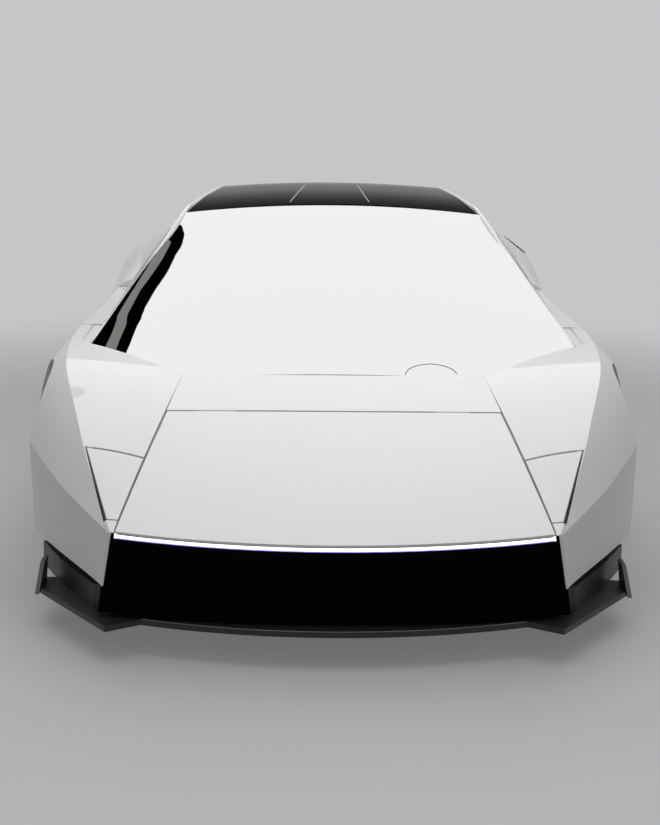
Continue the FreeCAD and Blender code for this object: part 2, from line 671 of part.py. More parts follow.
def roof_panel(rails):
    stations = between(ROOF_START_Y, ROOF_END_Y, 9)
    roof = sheet(ROOF_RIDGE, stations, ROOF_HALF, lambda y: ROOF_CROWN, lambda y: ROOF_THICKNESS)
    start = HEADER_CORNER_Y + HEADER_GAP
    points = [(HEADER_CORNER_X + PILLAR_LAP, start)]
    points += [(PILLAR.at(y).x + PILLAR_LAP, y) for y in between(start + HEADER_GAP / 2, ROOF_REAR_Y, 9)]
    points += [(-x, y) for x, y in reversed(points)]
    edges = [header_arc(HEADER_GAP)] + [line(v(*a, 0), v(*b, 0)) for a, b in zip(points, points[1:])]
    panel = roof.common(wire_prism(edges, 0.0, 2 * HEIGHT)).cut(rails)
    axis_z = DECK_RIDGE.at(LID_FRONT_Y).z - BARREL_DROP - SINK
    pin = barrel(LID_BARREL_X, LID_BARREL_X + BARREL_LENGTH, LID_FRONT_Y - BARREL_OFFSET, axis_z, ROOF_REAR_Y)
    return joined([panel, pin, mirrored(pin)])


# Doors
DOOR_FRONT_Y = WING_REAR_Y + MOVING_GAP
DOOR_REAR_Y = 0.1826 * HALF_LENGTH
BEVEL_SHARE = 0.115
BEVEL_LEAN_SHARE = 0.2375
BEVEL_FOOT_X = 1.062 * HALF_WIDTH
BEVEL_REACH = 400.0
BELT_X = 0.824 * HALF_WIDTH
BELT_RISE = 2.0
BELT_WIDTH = 44.0
BELT_DEPTH = 60.0
GLASS_FOOT_X = 0.812 * HALF_WIDTH
GLASS_FOOT_Z = 0.5942 * HEIGHT
GLASS_BULGE = 10.0
GLASS_BULGE_REACH = 400.0
GLASS_CLEAR = 12.5
PANE_INSET = 12.0
PANE_REAR_Y = DOOR_REAR_Y - PANE_INSET
VENT_FRONT_Y = -0.4565 * HALF_LENGTH
VENT_REAR_Y = DOOR_FRONT_Y - 1.35 * MOVING_GAP


def door_section(y):
    sides, shoulder, hem = side_edges(y)
    waist = WAIST.at(y)
    inner_hem = v(hem.x - DOOR_THICKNESS, y, hem.z)
    inner_waist = v(waist.x - DOOR_THICKNESS, y, waist.z)
    belt = v(BELT_X, y, shoulder.z + BELT_RISE)
    inner_belt = v(BELT_X - BELT_WIDTH, y, shoulder.z + BELT_RISE / 2)
    inner_ledge = v(BELT_X - BELT_WIDTH, y, shoulder.z - BELT_DEPTH)
    return [
        line(belt, shoulder), *sides, line(hem, inner_hem), line(inner_hem, inner_waist),
        line(inner_waist, inner_ledge), line(inner_ledge, inner_belt), line(inner_belt, belt),
    ]


def door_bevel():
    """The wedge off the inner rear edge that lets the edge swing past the quarter."""
    wedge = polygon([
        v(BEVEL_FOOT_X, DOOR_REAR_Y, 0), v(BEVEL_FOOT_X - BEVEL_REACH, DOOR_REAR_Y - BEVEL_REACH * BEVEL_SHARE, 0),
        v(BEVEL_FOOT_X - BEVEL_REACH, DOOR_REAR_Y + OVERRUN, 0), v(BEVEL_FOOT_X, DOOR_REAR_Y + OVERRUN, 0),
    ])
    return wedge.extrude(v(-BEVEL_LEAN_SHARE * HEIGHT, 0, HEIGHT))


def door(pane):
    shape = loft([door_section(y) for y in between(DOOR_FRONT_Y, DOOR_REAR_Y, 8)])
    return shape.cut(door_bevel()).cut(pane)


def pane_section(y, foot_z):
    rail = PILLAR.at(y)
    out, down = PILLAR_OUT_SHARES
    head = v(rail.x + PILLAR_WIDTH * out + GLASS_CLEAR, y, rail.z + PILLAR_WIDTH * down - GLASS_CLEAR / 4)
    share = (foot_z - GLASS_FOOT_Z) / (head.z - GLASS_FOOT_Z)
    base = v(GLASS_FOOT_X, y, GLASS_FOOT_Z)
    foot = base + (head - base) * share
    thick = v(-GLASS_THICKNESS, 0, 0)
    push = outward(foot, head, GLASS_BULGE * min(1.0, (head - foot).Length / GLASS_BULGE_REACH))
    return [
        bulged(foot, head, push), line(head, head + thick),
        bulged(head + thick, foot + thick, push), line(foot + thick, foot),
    ]


def side_glass():
    return loft([pane_section(y, GLASS_FOOT_Z) for y in between(DOOR_FRONT_Y, PANE_REAR_Y, 8)])


def vent_glass(wing, rail):
    pane = loft([pane_section(y, WING_LEDGE) for y in between(VENT_FRONT_Y, VENT_REAR_Y, 4)])
    return pane.cut(wing).cut(rail)


# Rear quarters, deck and engine lid
QUARTER_FRONT_Y = DOOR_REAR_Y + 1.1 * MOVING_GAP
QUARTER_REAR_Y = 0.940 * HALF_LENGTH
QUARTER_INNER = 0.430 * HALF_WIDTH
QUARTER_SHELF = 40.0
REAR_WELL_INNER = 0.590 * HALF_WIDTH
REAR_WELL_OUTER = 0.905 * HALF_WIDTH
REAR_ARCH_INNER = 0.860 * HALF_WIDTH
REAR_WELL_HALF_LENGTH = 390.0
REAR_WELL_HALF_HEIGHT = 362.0
REAR_WELL_FLOOR_TOP = 0.2122 * HEIGHT
DECK_BULGE = 10.0
DECK_HALF = 0.700 * HALF_WIDTH
DECK_CROWN = 34.0
DECK_START_Y = 0.2609 * HALF_LENGTH
DECK_END_Y = 0.9522 * HALF_LENGTH
DECK_REAR_Y = 0.9348 * HALF_LENGTH
LOUVRES = 6
LOUVRE_HALF = 0.330 * HALF_WIDTH
LOUVRE_PITCH = 0.0717 * HALF_LENGTH
LOUVRE_OPENING = 0.0478 * HALF_LENGTH
LOUVRE_START_Y = 0.3304 * HALF_LENGTH
SLAT_THICKNESS = 8.0
SLAT_REACH = 22.0
SLAT_DROP = 20.0
SLAT_FALL = 14.0
DECK_RIDGE = Rail([
    (0.200, 0.0, 0.9965), (0.270, 0.0, 0.9855), (0.300, 0.0, 0.979), (0.391, 0.0, 0.951), (0.522, 0.0, 0.899),
    (0.696, 0.0, 0.828), (0.826, 0.0, 0.778), (0.957, 0.0, 0.738),
])


def quarter_section(y):
    sides, shoulder, hem = side_edges(y)
    top, haunch = DECK_EDGE.at(y), HAUNCH.at(y)
    foot = v(QUARTER_INNER, y, hem.z)
    shelf = top.z - QUARTER_SHELF
    return [
        bulged(top, haunch, outward(top, haunch, DECK_BULGE)),
        bulged(haunch, shoulder, outward(haunch, shoulder, DECK_BULGE)),
        *sides, line(hem, foot), line(foot, v(QUARTER_INNER, y, shelf)),
        line(v(QUARTER_INNER, y, shelf), v(top.x, y, shelf)), line(v(top.x, y, shelf), top),
    ]


def quarter_blank():
    return loft([quarter_section(y) for y in between(QUARTER_FRONT_Y, QUARTER_REAR_Y, 12)])


def quarter(blank, rails):
    reach = REAR_WELL_HALF_LENGTH - WELL_TRIM
    front, rear = REAR_AXLE_Y - reach, REAR_AXLE_Y + reach
    return blank.cut([
        wheel_well(
            REAR_AXLE_Y, REAR_TYRE_RADIUS, REAR_WELL_INNER, REAR_WELL_OUTER, REAR_WELL_HALF_LENGTH,
            REAR_WELL_HALF_HEIGHT,
        ),
        arch(REAR_AXLE_Y, REAR_TYRE_RADIUS, REAR_ARCH_INNER),
        block(REAR_WELL_INNER, HALF_WIDTH + OVERRUN, front, rear, 0.0, REAR_WELL_FLOOR_TOP),
        block(0.0, REAR_WELL_INNER + SINK, front, rear, 0.0, WELL_SIDE_TOP),
        side_prism(intake_outline(1.0), INTAKE_FLOOR_X, HALF_WIDTH + OVERRUN),
        rails,
    ])


# The air intakes behind the doors: pockets in the quarters, and the vanes that fill them
INTAKE_FRONT_Y = 0.1980 * HALF_LENGTH
INTAKE_FOOT_Y = 0.3020 * HALF_LENGTH
INTAKE_HEAD_Y = 0.4000 * HALF_LENGTH
INTAKE_LOW = 0.4360 * HEIGHT
INTAKE_HIGH = 0.5880 * HEIGHT
INTAKE_RISE = 12.0
INTAKE_FLOOR_X = 0.868 * HALF_WIDTH
INTAKE_FIT_SHARE = 0.995
INTAKE_PLATE = 6.0
INTAKE_VANES = 7
VANE_THICKNESS = 9.0
VANE_SET_BACK = 9.0


def intake_corners():
    """Front foot, rear foot, rear head and front head of the opening, in side view."""
    return [
        (INTAKE_FRONT_Y, INTAKE_LOW), (INTAKE_FOOT_Y, INTAKE_LOW + INTAKE_RISE),
        (INTAKE_HEAD_Y, INTAKE_HIGH + INTAKE_RISE), (INTAKE_FRONT_Y, INTAKE_HIGH),
    ]


def intake_outline(fit):
    """The opening, drawn in towards its middle by the fit."""
    corners = intake_corners()
    y = sum(corner[0] for corner in corners) / len(corners)
    z = sum(corner[1] for corner in corners) / len(corners)
    return [(y + (a - y) * fit, z + (b - z) * fit) for a, b in corners]


def intake_grille(blank):
    """A back plate with vanes that fan from the upright front edge to the raked rear edge."""
    front_foot, rear_foot, rear_head, front_head = intake_corners()
    vanes = []
    for i in range(INTAKE_VANES):
        share = (i + 0.5) / INTAKE_VANES
        foot = [a + (b - a) * share for a, b in zip(front_foot, rear_foot)]
        head = [a + (b - a) * share for a, b in zip(front_head, rear_head)]
        lean = (head[0] - foot[0]) / (head[1] - foot[1])
        low, high = foot[1] - OVERRUN, head[1] + OVERRUN
        base, top = foot[0] - lean * OVERRUN, head[0] + lean * OVERRUN
        vanes.append(side_prism([
            (base, low), (base + VANE_THICKNESS, low), (top + VANE_THICKNESS, high), (top, high),
        ], INTAKE_FLOOR_X, HALF_WIDTH + OVERRUN))
    sunk = blank.copy()
    sunk.translate(v(-VANE_SET_BACK, 0, 0))
    room = side_prism(intake_outline(INTAKE_FIT_SHARE), INTAKE_FLOOR_X, HALF_WIDTH + OVERRUN)
    plate = side_prism(intake_outline(INTAKE_FIT_SHARE), INTAKE_FLOOR_X, INTAKE_FLOOR_X + INTAKE_PLATE)
    return joined([plate] + [vane.common(room).common(sunk) for vane in vanes])


def deck_outline(gap, front, rear):
    side = [(DECK_EDGE.at(y).x - gap, y) for y in between(front, rear, 10)]
    return side + [(-x, y) for x, y in reversed(side)]


def engine_lid():
    stations = between(DECK_START_Y, DECK_END_Y, 11)
    lid = sheet(DECK_RIDGE, stations, DECK_HALF, lambda y: DECK_CROWN, lambda y: LID_THICKNESS)
    lid = lid.common(plan_prism(deck_outline(1.35 * MOVING_GAP, LID_FRONT_Y, DECK_REAR_Y), 0.0, 2 * HEIGHT))
    slats = []
    for i in range(LOUVRES):
        y = LOUVRE_START_Y + i * LOUVRE_PITCH
        lid = lid.cut(block(-LOUVRE_HALF, LOUVRE_HALF, y, y + LOUVRE_OPENING, 0.0, 2 * HEIGHT))
        rear_low = DECK_RIDGE.at(y + LOUVRE_OPENING / 2).z - SLAT_DROP
        front_low = rear_low - SLAT_FALL
        for share in (0.25, 0.75):
            front = y + LOUVRE_OPENING * share - SLAT_REACH
            rear = front + 2 * SLAT_REACH
            slats.append(side_prism([
                (front, front_low), (rear, rear_low), (rear, rear_low + SLAT_THICKNESS),
                (front, front_low + SLAT_THICKNESS),
            ], -LOUVRE_HALF - SINK, LOUVRE_HALF + SINK))
    return joined([lid] + slats)


# Tail
TAIL_REAR_Y = HALF_LENGTH
TAIL_MIDDLE_SHARE = 0.992
TAIL_END_SHARE = 0.965
TAIL_MIDDLE_DROP = 6.0
TAIL_END_DROP = 24.0
TAIL_MIDDLE_KICK = 6.0
TAIL_END_KICK = 30.0
TAIL_SPLIT = 0.3493 * HEIGHT
RECESS_HALF = 0.790 * HALF_WIDTH
RECESS_LOW = 0.3890 * HEIGHT
RECESS_HIGH = 0.6101 * HEIGHT
RECESS_Y = 0.9587 * HALF_LENGTH
GRILLE_DEPTH = 14.0
GRILLE_BACK = 4.0
GRILLE_SLAT = 6.0
GRILLE_ROWS = 9
GRILLE_BARS = 16
TAIL_LIGHT_HALF = 0.770 * HALF_WIDTH
TAIL_LIGHT_LOW = 0.5217 * HEIGHT
TAIL_LIGHT_HEIGHT = 38.0
TAIL_LIGHT_DEPTH = 40.0
PIPE_RADIUS = 44.0
PIPE_WALL = 4.0
PIPE_CENTRES = (0.062 * HALF_WIDTH, 0.168 * HALF_WIDTH)
PIPE_Z = 0.2989 * HEIGHT
PIPE_BORE = 300.0
PIPE_END_GAP = 10.0
PIPE_ROOM = 0.240 * HALF_WIDTH
GEARBOX_REAR_Y = 0.7609 * HALF_LENGTH


def tail_section(y, draw, drop, kick, inset):
    """The quarter's last section, drawn in and lowered towards the rear, with its deck kicked up."""
    places = [rail.at(QUARTER_REAR_Y) for rail in (DECK_EDGE, HAUNCH, SHOULDER, WAIST, HEM)]
    bulges = (DECK_BULGE, DECK_BULGE, side_push(places[2], places[3], QUARTER_REAR_Y), LOWER_BULGE)
    rises = (kick - drop, kick - drop, -drop, -drop, -drop)
    near = [v(p.x * draw - inset, y, p.z + rise) for p, rise in zip(places, rises)]
    spans = [(a, b, outward(a, b, bulge)) for a, b, bulge in zip(near, near[1:], bulges)]
    left = [bulged(a, b, push) for a, b, push in spans]
    right = [bulged(flipped(b), flipped(a), flipped(push)) for a, b, push in reversed(spans)]
    base = line(near[-1], flipped(near[-1]))
    return left + [base] + right + [bulged(flipped(near[0]), near[0], v(0, 0, DECK_CROWN))]


def tail_blank(inset):
    return loft([
        tail_section(QUARTER_REAR_Y, 1.0, 0.0, 0.0, inset),
        tail_section(
            (QUARTER_REAR_Y + TAIL_REAR_Y) / 2, TAIL_MIDDLE_SHARE, TAIL_MIDDLE_DROP, TAIL_MIDDLE_KICK, inset,
        ),
        tail_section(TAIL_REAR_Y - inset, TAIL_END_SHARE, TAIL_END_DROP, TAIL_END_KICK, inset),
    ])


def tail():
    body = tail_blank(0.0).cut(block(-HALF_WIDTH, HALF_WIDTH, 0.0, LENGTH, 0.0, TAIL_SPLIT))
    return body.cut(block(-RECESS_HALF, RECESS_HALF, RECESS_Y, LENGTH, RECESS_LOW, RECESS_HIGH))


def rear_grille():
    low, high = RECESS_LOW + SEAT_GAP, RECESS_HIGH - SEAT_GAP
    y0, y1 = RECESS_Y, RECESS_Y + GRILLE_DEPTH
    parts = [block(-RECESS_HALF, RECESS_HALF, y0, y0 + GRILLE_BACK, low, high)]
    for z in between(low, high - GRILLE_SLAT, GRILLE_ROWS):
        parts.append(block(-RECESS_HALF, RECESS_HALF, y0, y1, z, z + GRILLE_SLAT))
    for x in between(-RECESS_HALF, RECESS_HALF - GRILLE_SLAT, GRILLE_BARS):
        parts.append(block(x, x + GRILLE_SLAT, y0, y1, low, high))
    return joined(parts)


def tail_light():
    y0 = RECESS_Y + GRILLE_DEPTH
    high = TAIL_LIGHT_LOW + TAIL_LIGHT_HEIGHT
    return block(-TAIL_LIGHT_HALF, TAIL_LIGHT_HALF, y0, y0 + TAIL_LIGHT_DEPTH, TAIL_LIGHT_LOW, high)


# The black lower bumper at the rear, with its slots, and the diffuser
VALANCE_INSET = 12.0
SLOT_INNER_X = 0.560 * HALF_WIDTH
SLOT_OUTER_X = 0.790 * HALF_WIDTH
SLOT_LOW = 0.2670 * HEIGHT
SLOT_HEIGHT = 15.0
SLOT_PITCH = 26.0
SLOT_ROWS = 3
SLOT_DEPTH = 40.0
DIFFUSER_HALF = 0.560 * HALF_WIDTH
DIFFUSER_FRONT_Y = 0.7783 * HALF_LENGTH
DIFFUSER_LENGTH = 0.2087 * HALF_LENGTH
DIFFUSER_LOW = 0.0850 * HEIGHT
DIFFUSER_HEIGHT = 0.1671 * HEIGHT
DIFFUSER_PLATE_SHARES = [(0.0, 0.085), (1.0, 0.688), (1.0, 1.0), (0.783, 1.0), (0.0, 0.286)]
DIFFUSER_FIN_SHARES = [(0.146, 0.0), (0.983, 0.085), (0.983, 0.741), (0.146, 0.233)]
DIFFUSER_FINS = 6
FIN_SPREAD = 0.500 * HALF_WIDTH
DIFFUSER_FIN_THICKNESS = 8.0
VALANCE_LIP_LOW = 0.2210 * HEIGHT
VALANCE_LIP_HIGH = 0.2582 * HEIGHT
VALANCE_LIP_SHARE = 0.94
VALANCE_LIP_INSET = 20.0


def diffuser_outline(shares):
    return from_shares(shares, DIFFUSER_FRONT_Y, DIFFUSER_LENGTH, DIFFUSER_LOW, DIFFUSER_HEIGHT)


def valance():
    """The tail's black lower part, a little inside the white part above it."""
    body = tail_blank(VALANCE_INSET).cut(block(-HALF_WIDTH, HALF_WIDTH, 0.0, LENGTH, TAIL_SPLIT, HEIGHT))
    half = VALANCE_LIP_SHARE * HEM.at(QUARTER_REAR_Y).x
    lip = block(
        -half, half, QUARTER_REAR_Y + PANEL_GAP, TAIL_REAR_Y - VALANCE_LIP_INSET, VALANCE_LIP_LOW, VALANCE_LIP_HIGH,
    )
    body = body.fuse(lip).cut(block(-PIPE_ROOM, PIPE_ROOM, 0.0, LENGTH, VALANCE_LIP_HIGH, HEIGHT))
    for i in range(SLOT_ROWS):
        low = SLOT_LOW + i * SLOT_PITCH
        slot = block(
            SLOT_INNER_X, SLOT_OUTER_X, TAIL_REAR_Y - VALANCE_INSET - SLOT_DEPTH, LENGTH, low, low + SLOT_HEIGHT,
        )
        body = body.cut([slot, mirrored(slot)])
    return body


def diffuser():
    parts = [valance(), side_prism(diffuser_outline(DIFFUSER_PLATE_SHARES), -DIFFUSER_HALF, DIFFUSER_HALF)]
    half = DIFFUSER_FIN_THICKNESS / 2
    for x in between(-FIN_SPREAD, FIN_SPREAD, DIFFUSER_FINS):
        parts.append(side_prism(diffuser_outline(DIFFUSER_FIN_SHARES), x - half, x + half))
    return joined(parts)


def exhaust():
    rear = TAIL_REAR_Y - PIPE_END_GAP
    pipes = []
    for x in PIPE_CENTRES + tuple(-x for x in PIPE_CENTRES):
        outer = Part.makeCylinder(PIPE_RADIUS, rear - GEARBOX_REAR_Y, v(x, GEARBOX_REAR_Y, PIPE_Z), v(0, 1, 0))
        start = v(x, rear - PIPE_BORE + SINK, PIPE_Z)
        inner = Part.makeCylinder(PIPE_RADIUS - PIPE_WALL, PIPE_BORE, start, v(0, 1, 0))
        pipes.append(outer.cut(inner))
    return Part.makeCompound(pipes)


# Structure: tub, sills, bulkheads, and the mouldings along the sides
BAY_REAR_Y = -0.5826 * HALF_LENGTH
ENGINE_FLOOR_REAR_Y = 0.7652 * HALF_LENGTH
SILL_INNER = 0.720 * HALF_WIDTH
JACK_FRONT_Y = -0.2696 * HALF_LENGTH
JACK_REAR_Y = 0.1217 * HALF_LENGTH
JACK_RADIUS = 32.0
JACK_LOW = 80.0
WINDOW_HALF = 0.360 * HALF_WIDTH
WINDOW_LOW = 0.7073 * HEIGHT
WINDOW_HIGH = 0.8930 * HEIGHT
WINDOW_LAP = 14.0
BULKHEAD_TOP = 0.9505 * HEIGHT


def bay_wall(x0, x1, rear):
    wall = block(x0, x1, TUB_FRONT_Y, rear, TUB_LOW, HEIGHT)
    moving = bonnet_layer(-HEIGHT, lambda y: HEIGHT + BONNET_THICKNESS + 2 * MOVING_GAP)
    fixed = bonnet_layer(-HEIGHT, lambda y: HEIGHT + BONNET_THICKNESS)
    front = wall.cut(moving)
    back = wall.cut(fixed).cut(block(-HALF_WIDTH, HALF_WIDTH, -LENGTH, COWL_FRONT_Y, 0.0, HEIGHT))
    return front, back


def tub():
    inner = TUB_HALF_WIDTH - BAY_WALL
    tray_top = TUB_LOW + TRAY_THICKNESS
    parts = [
        block(-TUB_HALF_WIDTH, TUB_HALF_WIDTH, TUB_FRONT_Y, WING_REAR_Y + SINK, TUB_LOW, TUB_FLOOR),
        block(-SILL_OUTER, SILL_OUTER, WING_REAR_Y, QUARTER_FRONT_Y, TUB_LOW, TUB_FLOOR),
        block(-QUARTER_INNER, QUARTER_INNER, QUARTER_FRONT_Y - SINK, ENGINE_FLOOR_REAR_Y, TUB_LOW, tray_top),
    ]
    sill = block(SILL_INNER, SILL_OUTER, WING_REAR_Y, QUARTER_FRONT_Y, TUB_LOW, SILL_TOP)
    for y in (JACK_FRONT_Y, JACK_REAR_Y):
        pad = Part.makeCylinder(JACK_RADIUS, TUB_LOW - JACK_LOW, v((SILL_INNER + SILL_OUTER) / 2, y, JACK_LOW))
        parts += [pad, mirrored(pad)]
    bulkhead = block(
        -QUARTER_INNER, QUARTER_INNER, QUARTER_FRONT_Y, QUARTER_FRONT_Y + BULKHEAD_THICKNESS, TUB_LOW, BULKHEAD_TOP,
    )
    hole = block(-WINDOW_HALF, WINDOW_HALF, 0.0, LENGTH, WINDOW_LOW, WINDOW_HIGH)
    parts += [sill, mirrored(sill), bulkhead.cut(hole)]
    for wall in bay_wall(inner, TUB_HALF_WIDTH, BAY_REAR_Y + BULKHEAD_THICKNESS):
        parts += [wall, mirrored(wall)]
    footwell = block(inner, TUB_HALF_WIDTH, BAY_REAR_Y, WING_REAR_Y, TUB_LOW, WELL_SIDE_TOP)
    parts += [footwell, mirrored(footwell)]
    across = bay_wall(-inner - SINK, inner + SINK, BAY_REAR_Y + BULKHEAD_THICKNESS)
    across_front = across[0].common(block(-HALF_WIDTH, HALF_WIDTH, -LENGTH, TUB_FRONT_Y + BAY_WALL, 0.0, HEIGHT))
    across_rear = across[1].common(block(-HALF_WIDTH, HALF_WIDTH, BAY_REAR_Y, 0.0, 0.0, HEIGHT))
    return joined(parts + [across_front, across_rear])


SKIRT_GAP = 1.3 * MOVING_GAP
SKIRT_FRONT_GAP = 70.0
SKIRT_REAR_GAP = 50.0
SKIRT_INSET = 22.0
SKIRT_HEAD_INSET = 14.0
BLADE_INSET = 6.0
BLADE_UNDERCUT = 30.0
BLADE_RISE = 8.0
BLADE_HEIGHT = 20.0
SKIRT_RAKE = 75.0


def skirt_section(y):
    """An upright moulding under the hem, with a blade along its foot."""
    hem = HEM.at(y)
    low = GROUND_CLEARANCE
    return ring([
        v(SILL_OUTER, y, low), v(hem.x - BLADE_UNDERCUT, y, low), v(hem.x - BLADE_INSET, y, low + BLADE_RISE),
        v(hem.x - BLADE_INSET, y, low + BLADE_HEIGHT), v(hem.x - SKIRT_INSET, y, low + BLADE_HEIGHT + BLADE_RISE),
        v(hem.x - SKIRT_HEAD_INSET, y, hem.z - SKIRT_GAP), v(SILL_OUTER, y, hem.z - SKIRT_GAP),
    ])


def skirt():
    front = FRONT_AXLE_Y + FRONT_TYRE_RADIUS + SKIRT_FRONT_GAP
    rear = REAR_AXLE_Y - REAR_TYRE_RADIUS - SKIRT_REAR_GAP
    body = loft([skirt_section(y) for y in between(front, rear, 8)])
    low, high = GROUND_CLEARANCE + BLADE_HEIGHT, GROUND_CLEARANCE + BLADE_HEIGHT + 3 * OVERRUN
    inner, outer = SILL_OUTER - OVERRUN, HALF_WIDTH + OVERRUN
    rake = 3 * SKIRT_RAKE
    return body.cut([
        side_prism([(front - SINK, low), (front + rake, high), (front - SINK, high)], inner, outer),
        side_prism([(rear + SINK, low), (rear + SINK, high), (rear - rake / 3, high)], inner, outer),
    ])


def side_trim(blank):
    parts = [skirt(), intake_grille(blank)]
    return Part.makeCompound(parts + [mirrored(part) for part in parts])


def rear_window():
    y = QUARTER_FRONT_Y
    half = WINDOW_HALF + WINDOW_LAP
    return block(-half, half, y - GLASS_THICKNESS, y, WINDOW_LOW - WINDOW_LAP, WINDOW_HIGH + WINDOW_LAP)


# Cabin
DASH_HALF = 0.700 * HALF_WIDTH
DASH_TOP = 0.6100 * HEIGHT
DASH_FRONT_Y = -0.4826 * HALF_LENGTH
DASH_REAR_Y = -0.2783 * HALF_LENGTH
DASH_SHARES = [(0.0, 0.0), (0.872, 0.0), (1.0, 0.105), (0.957, 0.9), (0.830, 1.15), (0.0, 0.58)]
LOWER_DASH_FRONT_Y = BAY_REAR_Y + BULKHEAD_THICKNESS
LOWER_DASH_LOW = 0.3714 * HEIGHT
LOWER_DASH_INSET = 10.0
LOWER_DASH_SHARES = [(0.0, 0.604), (0.833, 0.0), (0.985, 0.345), (1.0, 1.0), (0.0, 0.797)]
CONSOLE_LENGTH = 0.4478 * HALF_LENGTH
CONSOLE_TOP = 0.4686 * HEIGHT
CONSOLE_HALF = 85.0
CONSOLE_SHARES = [(0.0, 0.0), (1.0, 0.0), (1.0, 0.439), (0.418, 0.512), (0.058, 1.0), (0.0, 1.0)]
CONSOLE_SETBACK = 90.0
HOOD_SHARES = [(0.0, 0.2), (0.947, 0.0), (1.0, 0.943), (0.526, 1.0)]
HOOD_FRONT_Y = -0.3478 * HALF_LENGTH
HOOD_LENGTH = 190.0
HOOD_LOW = 0.5924 * HEIGHT
HOOD_HEIGHT = 70.0
HOOD_HALF = 150.0
WHEEL_X = 0.360 * HALF_WIDTH
WHEEL_Y = -0.2043 * HALF_LENGTH
WHEEL_Z = 0.6189 * HEIGHT
WHEEL_TILT = 22.0
STEERING_RADIUS = 172.0
STEERING_GRIP = 15.0
GRIP_SIDES = 8
STEERING_HUB_RADIUS = 52.0
STEERING_HUB_RISE = 16.0
STEERING_HUB_DEPTH = 30.0
SPOKE_HALF_WIDTH = 16.0
SPOKE_RISE = 5.0
SPOKE_DEPTH = 7.0
COLUMN_RADIUS = 18.0
COLUMN_LENGTH = 220.0
COLUMN_START = 2.0
SHROUD_RADIUS = 42.0
SHROUD_START = 40.0
SHROUD_LENGTH = 170.0
BEARING_GAP = 0.5


def dashboard():
    length = DASH_REAR_Y - DASH_FRONT_Y
    top = from_shares(DASH_SHARES, DASH_FRONT_Y, length, WING_LEDGE, DASH_TOP - WING_LEDGE)
    length = DASH_REAR_Y - LOWER_DASH_INSET - LOWER_DASH_FRONT_Y
    height = WING_LEDGE + SINK - LOWER_DASH_LOW
    lower = from_shares(LOWER_DASH_SHARES, LOWER_DASH_FRONT_Y, length, LOWER_DASH_LOW, height)
    inner = TUB_HALF_WIDTH - BAY_WALL
    console = from_shares(
        CONSOLE_SHARES, DASH_REAR_Y - CONSOLE_SETBACK, CONSOLE_LENGTH, TUB_FLOOR, CONSOLE_TOP - TUB_FLOOR,
    )
    hood = from_shares(HOOD_SHARES, HOOD_FRONT_Y, HOOD_LENGTH, HOOD_LOW, HOOD_HEIGHT)
    return joined([
        side_prism(top, -DASH_HALF, DASH_HALF), side_prism(lower, -inner, inner),
        side_prism(console, -CONSOLE_HALF, CONSOLE_HALF),
        side_prism(hood, WHEEL_X - HOOD_HALF, WHEEL_X + HOOD_HALF), steering_column(),
    ])


def steering_wheel():
    """Made flat at the origin, then leaned back and moved to its column."""
    section = []
    for i in range(GRIP_SIDES):
        angle = 2 * math.pi * i / GRIP_SIDES
        section.append(v(STEERING_RADIUS + STEERING_GRIP * math.cos(angle), 0, STEERING_GRIP * math.sin(angle)))
    rim = polygon(section).revolve(v(0, 0, 0), v(0, 0, 1), 360)
    foot = v(0, 0, -STEERING_HUB_DEPTH)
    hub = Part.makeCylinder(STEERING_HUB_RADIUS, STEERING_HUB_RISE + STEERING_HUB_DEPTH, foot)
    bore = Part.makeCylinder(COLUMN_RADIUS + BEARING_GAP, STEERING_HUB_DEPTH + 2 * COLUMN_START, foot * 1.1)
    parts = [rim, hub.cut(bore)]
    for angle in (0.0, 180.0, 270.0):
        spoke = block(
            STEERING_HUB_RADIUS * 0.8, STEERING_RADIUS, -SPOKE_HALF_WIDTH, SPOKE_HALF_WIDTH, -SPOKE_DEPTH, SPOKE_RISE,
        )
        spoke.rotate(v(0, 0, 0), v(0, 0, 1), angle)
        parts.append(spoke)
    wheel = joined(parts)
    wheel.rotate(v(0, 0, 0), v(1, 0, 0), WHEEL_TILT - 90.0)
    wheel.translate(v(WHEEL_X, WHEEL_Y, WHEEL_Z))
    return wheel


def steering_column():
    tilt = math.radians(WHEEL_TILT)
    down = v(0, -math.cos(tilt), -math.sin(tilt))
    centre = v(WHEEL_X, WHEEL_Y, WHEEL_Z)
    column = Part.makeCylinder(COLUMN_RADIUS, COLUMN_LENGTH, centre + down * COLUMN_START, down)
    shroud = Part.makeCylinder(SHROUD_RADIUS, SHROUD_LENGTH, centre + down * SHROUD_START, down)
    return joined([column, shroud])


# Seats: outlines as shares of one seat's length and of its height above the floor
SEAT_X = 0.360 * HALF_WIDTH
SEAT_HALF_WIDTH = 250.0
SEAT_FRONT_Y = -0.1087 * HALF_LENGTH
SEAT_LENGTH = 662.0
SEAT_TOP = 0.8400 * HEIGHT
SEAT_BASE_SHARES = [(0.045, 0.0), (0.770, 0.0), (0.831, 0.096), (0.755, 0.171), (0.076, 0.217), (0.0, 0.169)]
SEAT_BACK_SHARES = [
    (0.725, 0.096), (0.846, 0.096), (0.989, 0.771), (1.0, 1.0), (0.906, 1.0), (0.846, 0.771), (0.680, 0.205),
]
BACK_BOLSTER_SHARES = [(0.650, 0.096), (0.831, 0.072), (0.959, 0.699), (0.831, 0.723), (0.604, 0.253)]
THIGH_BOLSTER_SHARES = [(0.030, 0.036), (0.785, 0.036), (0.770, 0.253), (0.060, 0.265)]
SEAT_BASE_INSET = 20.0
SEAT_BACK_INSET = 50.0
BACK_BOLSTER_WIDTH = 70.0
THIGH_BOLSTER_WIDTH = 60.0


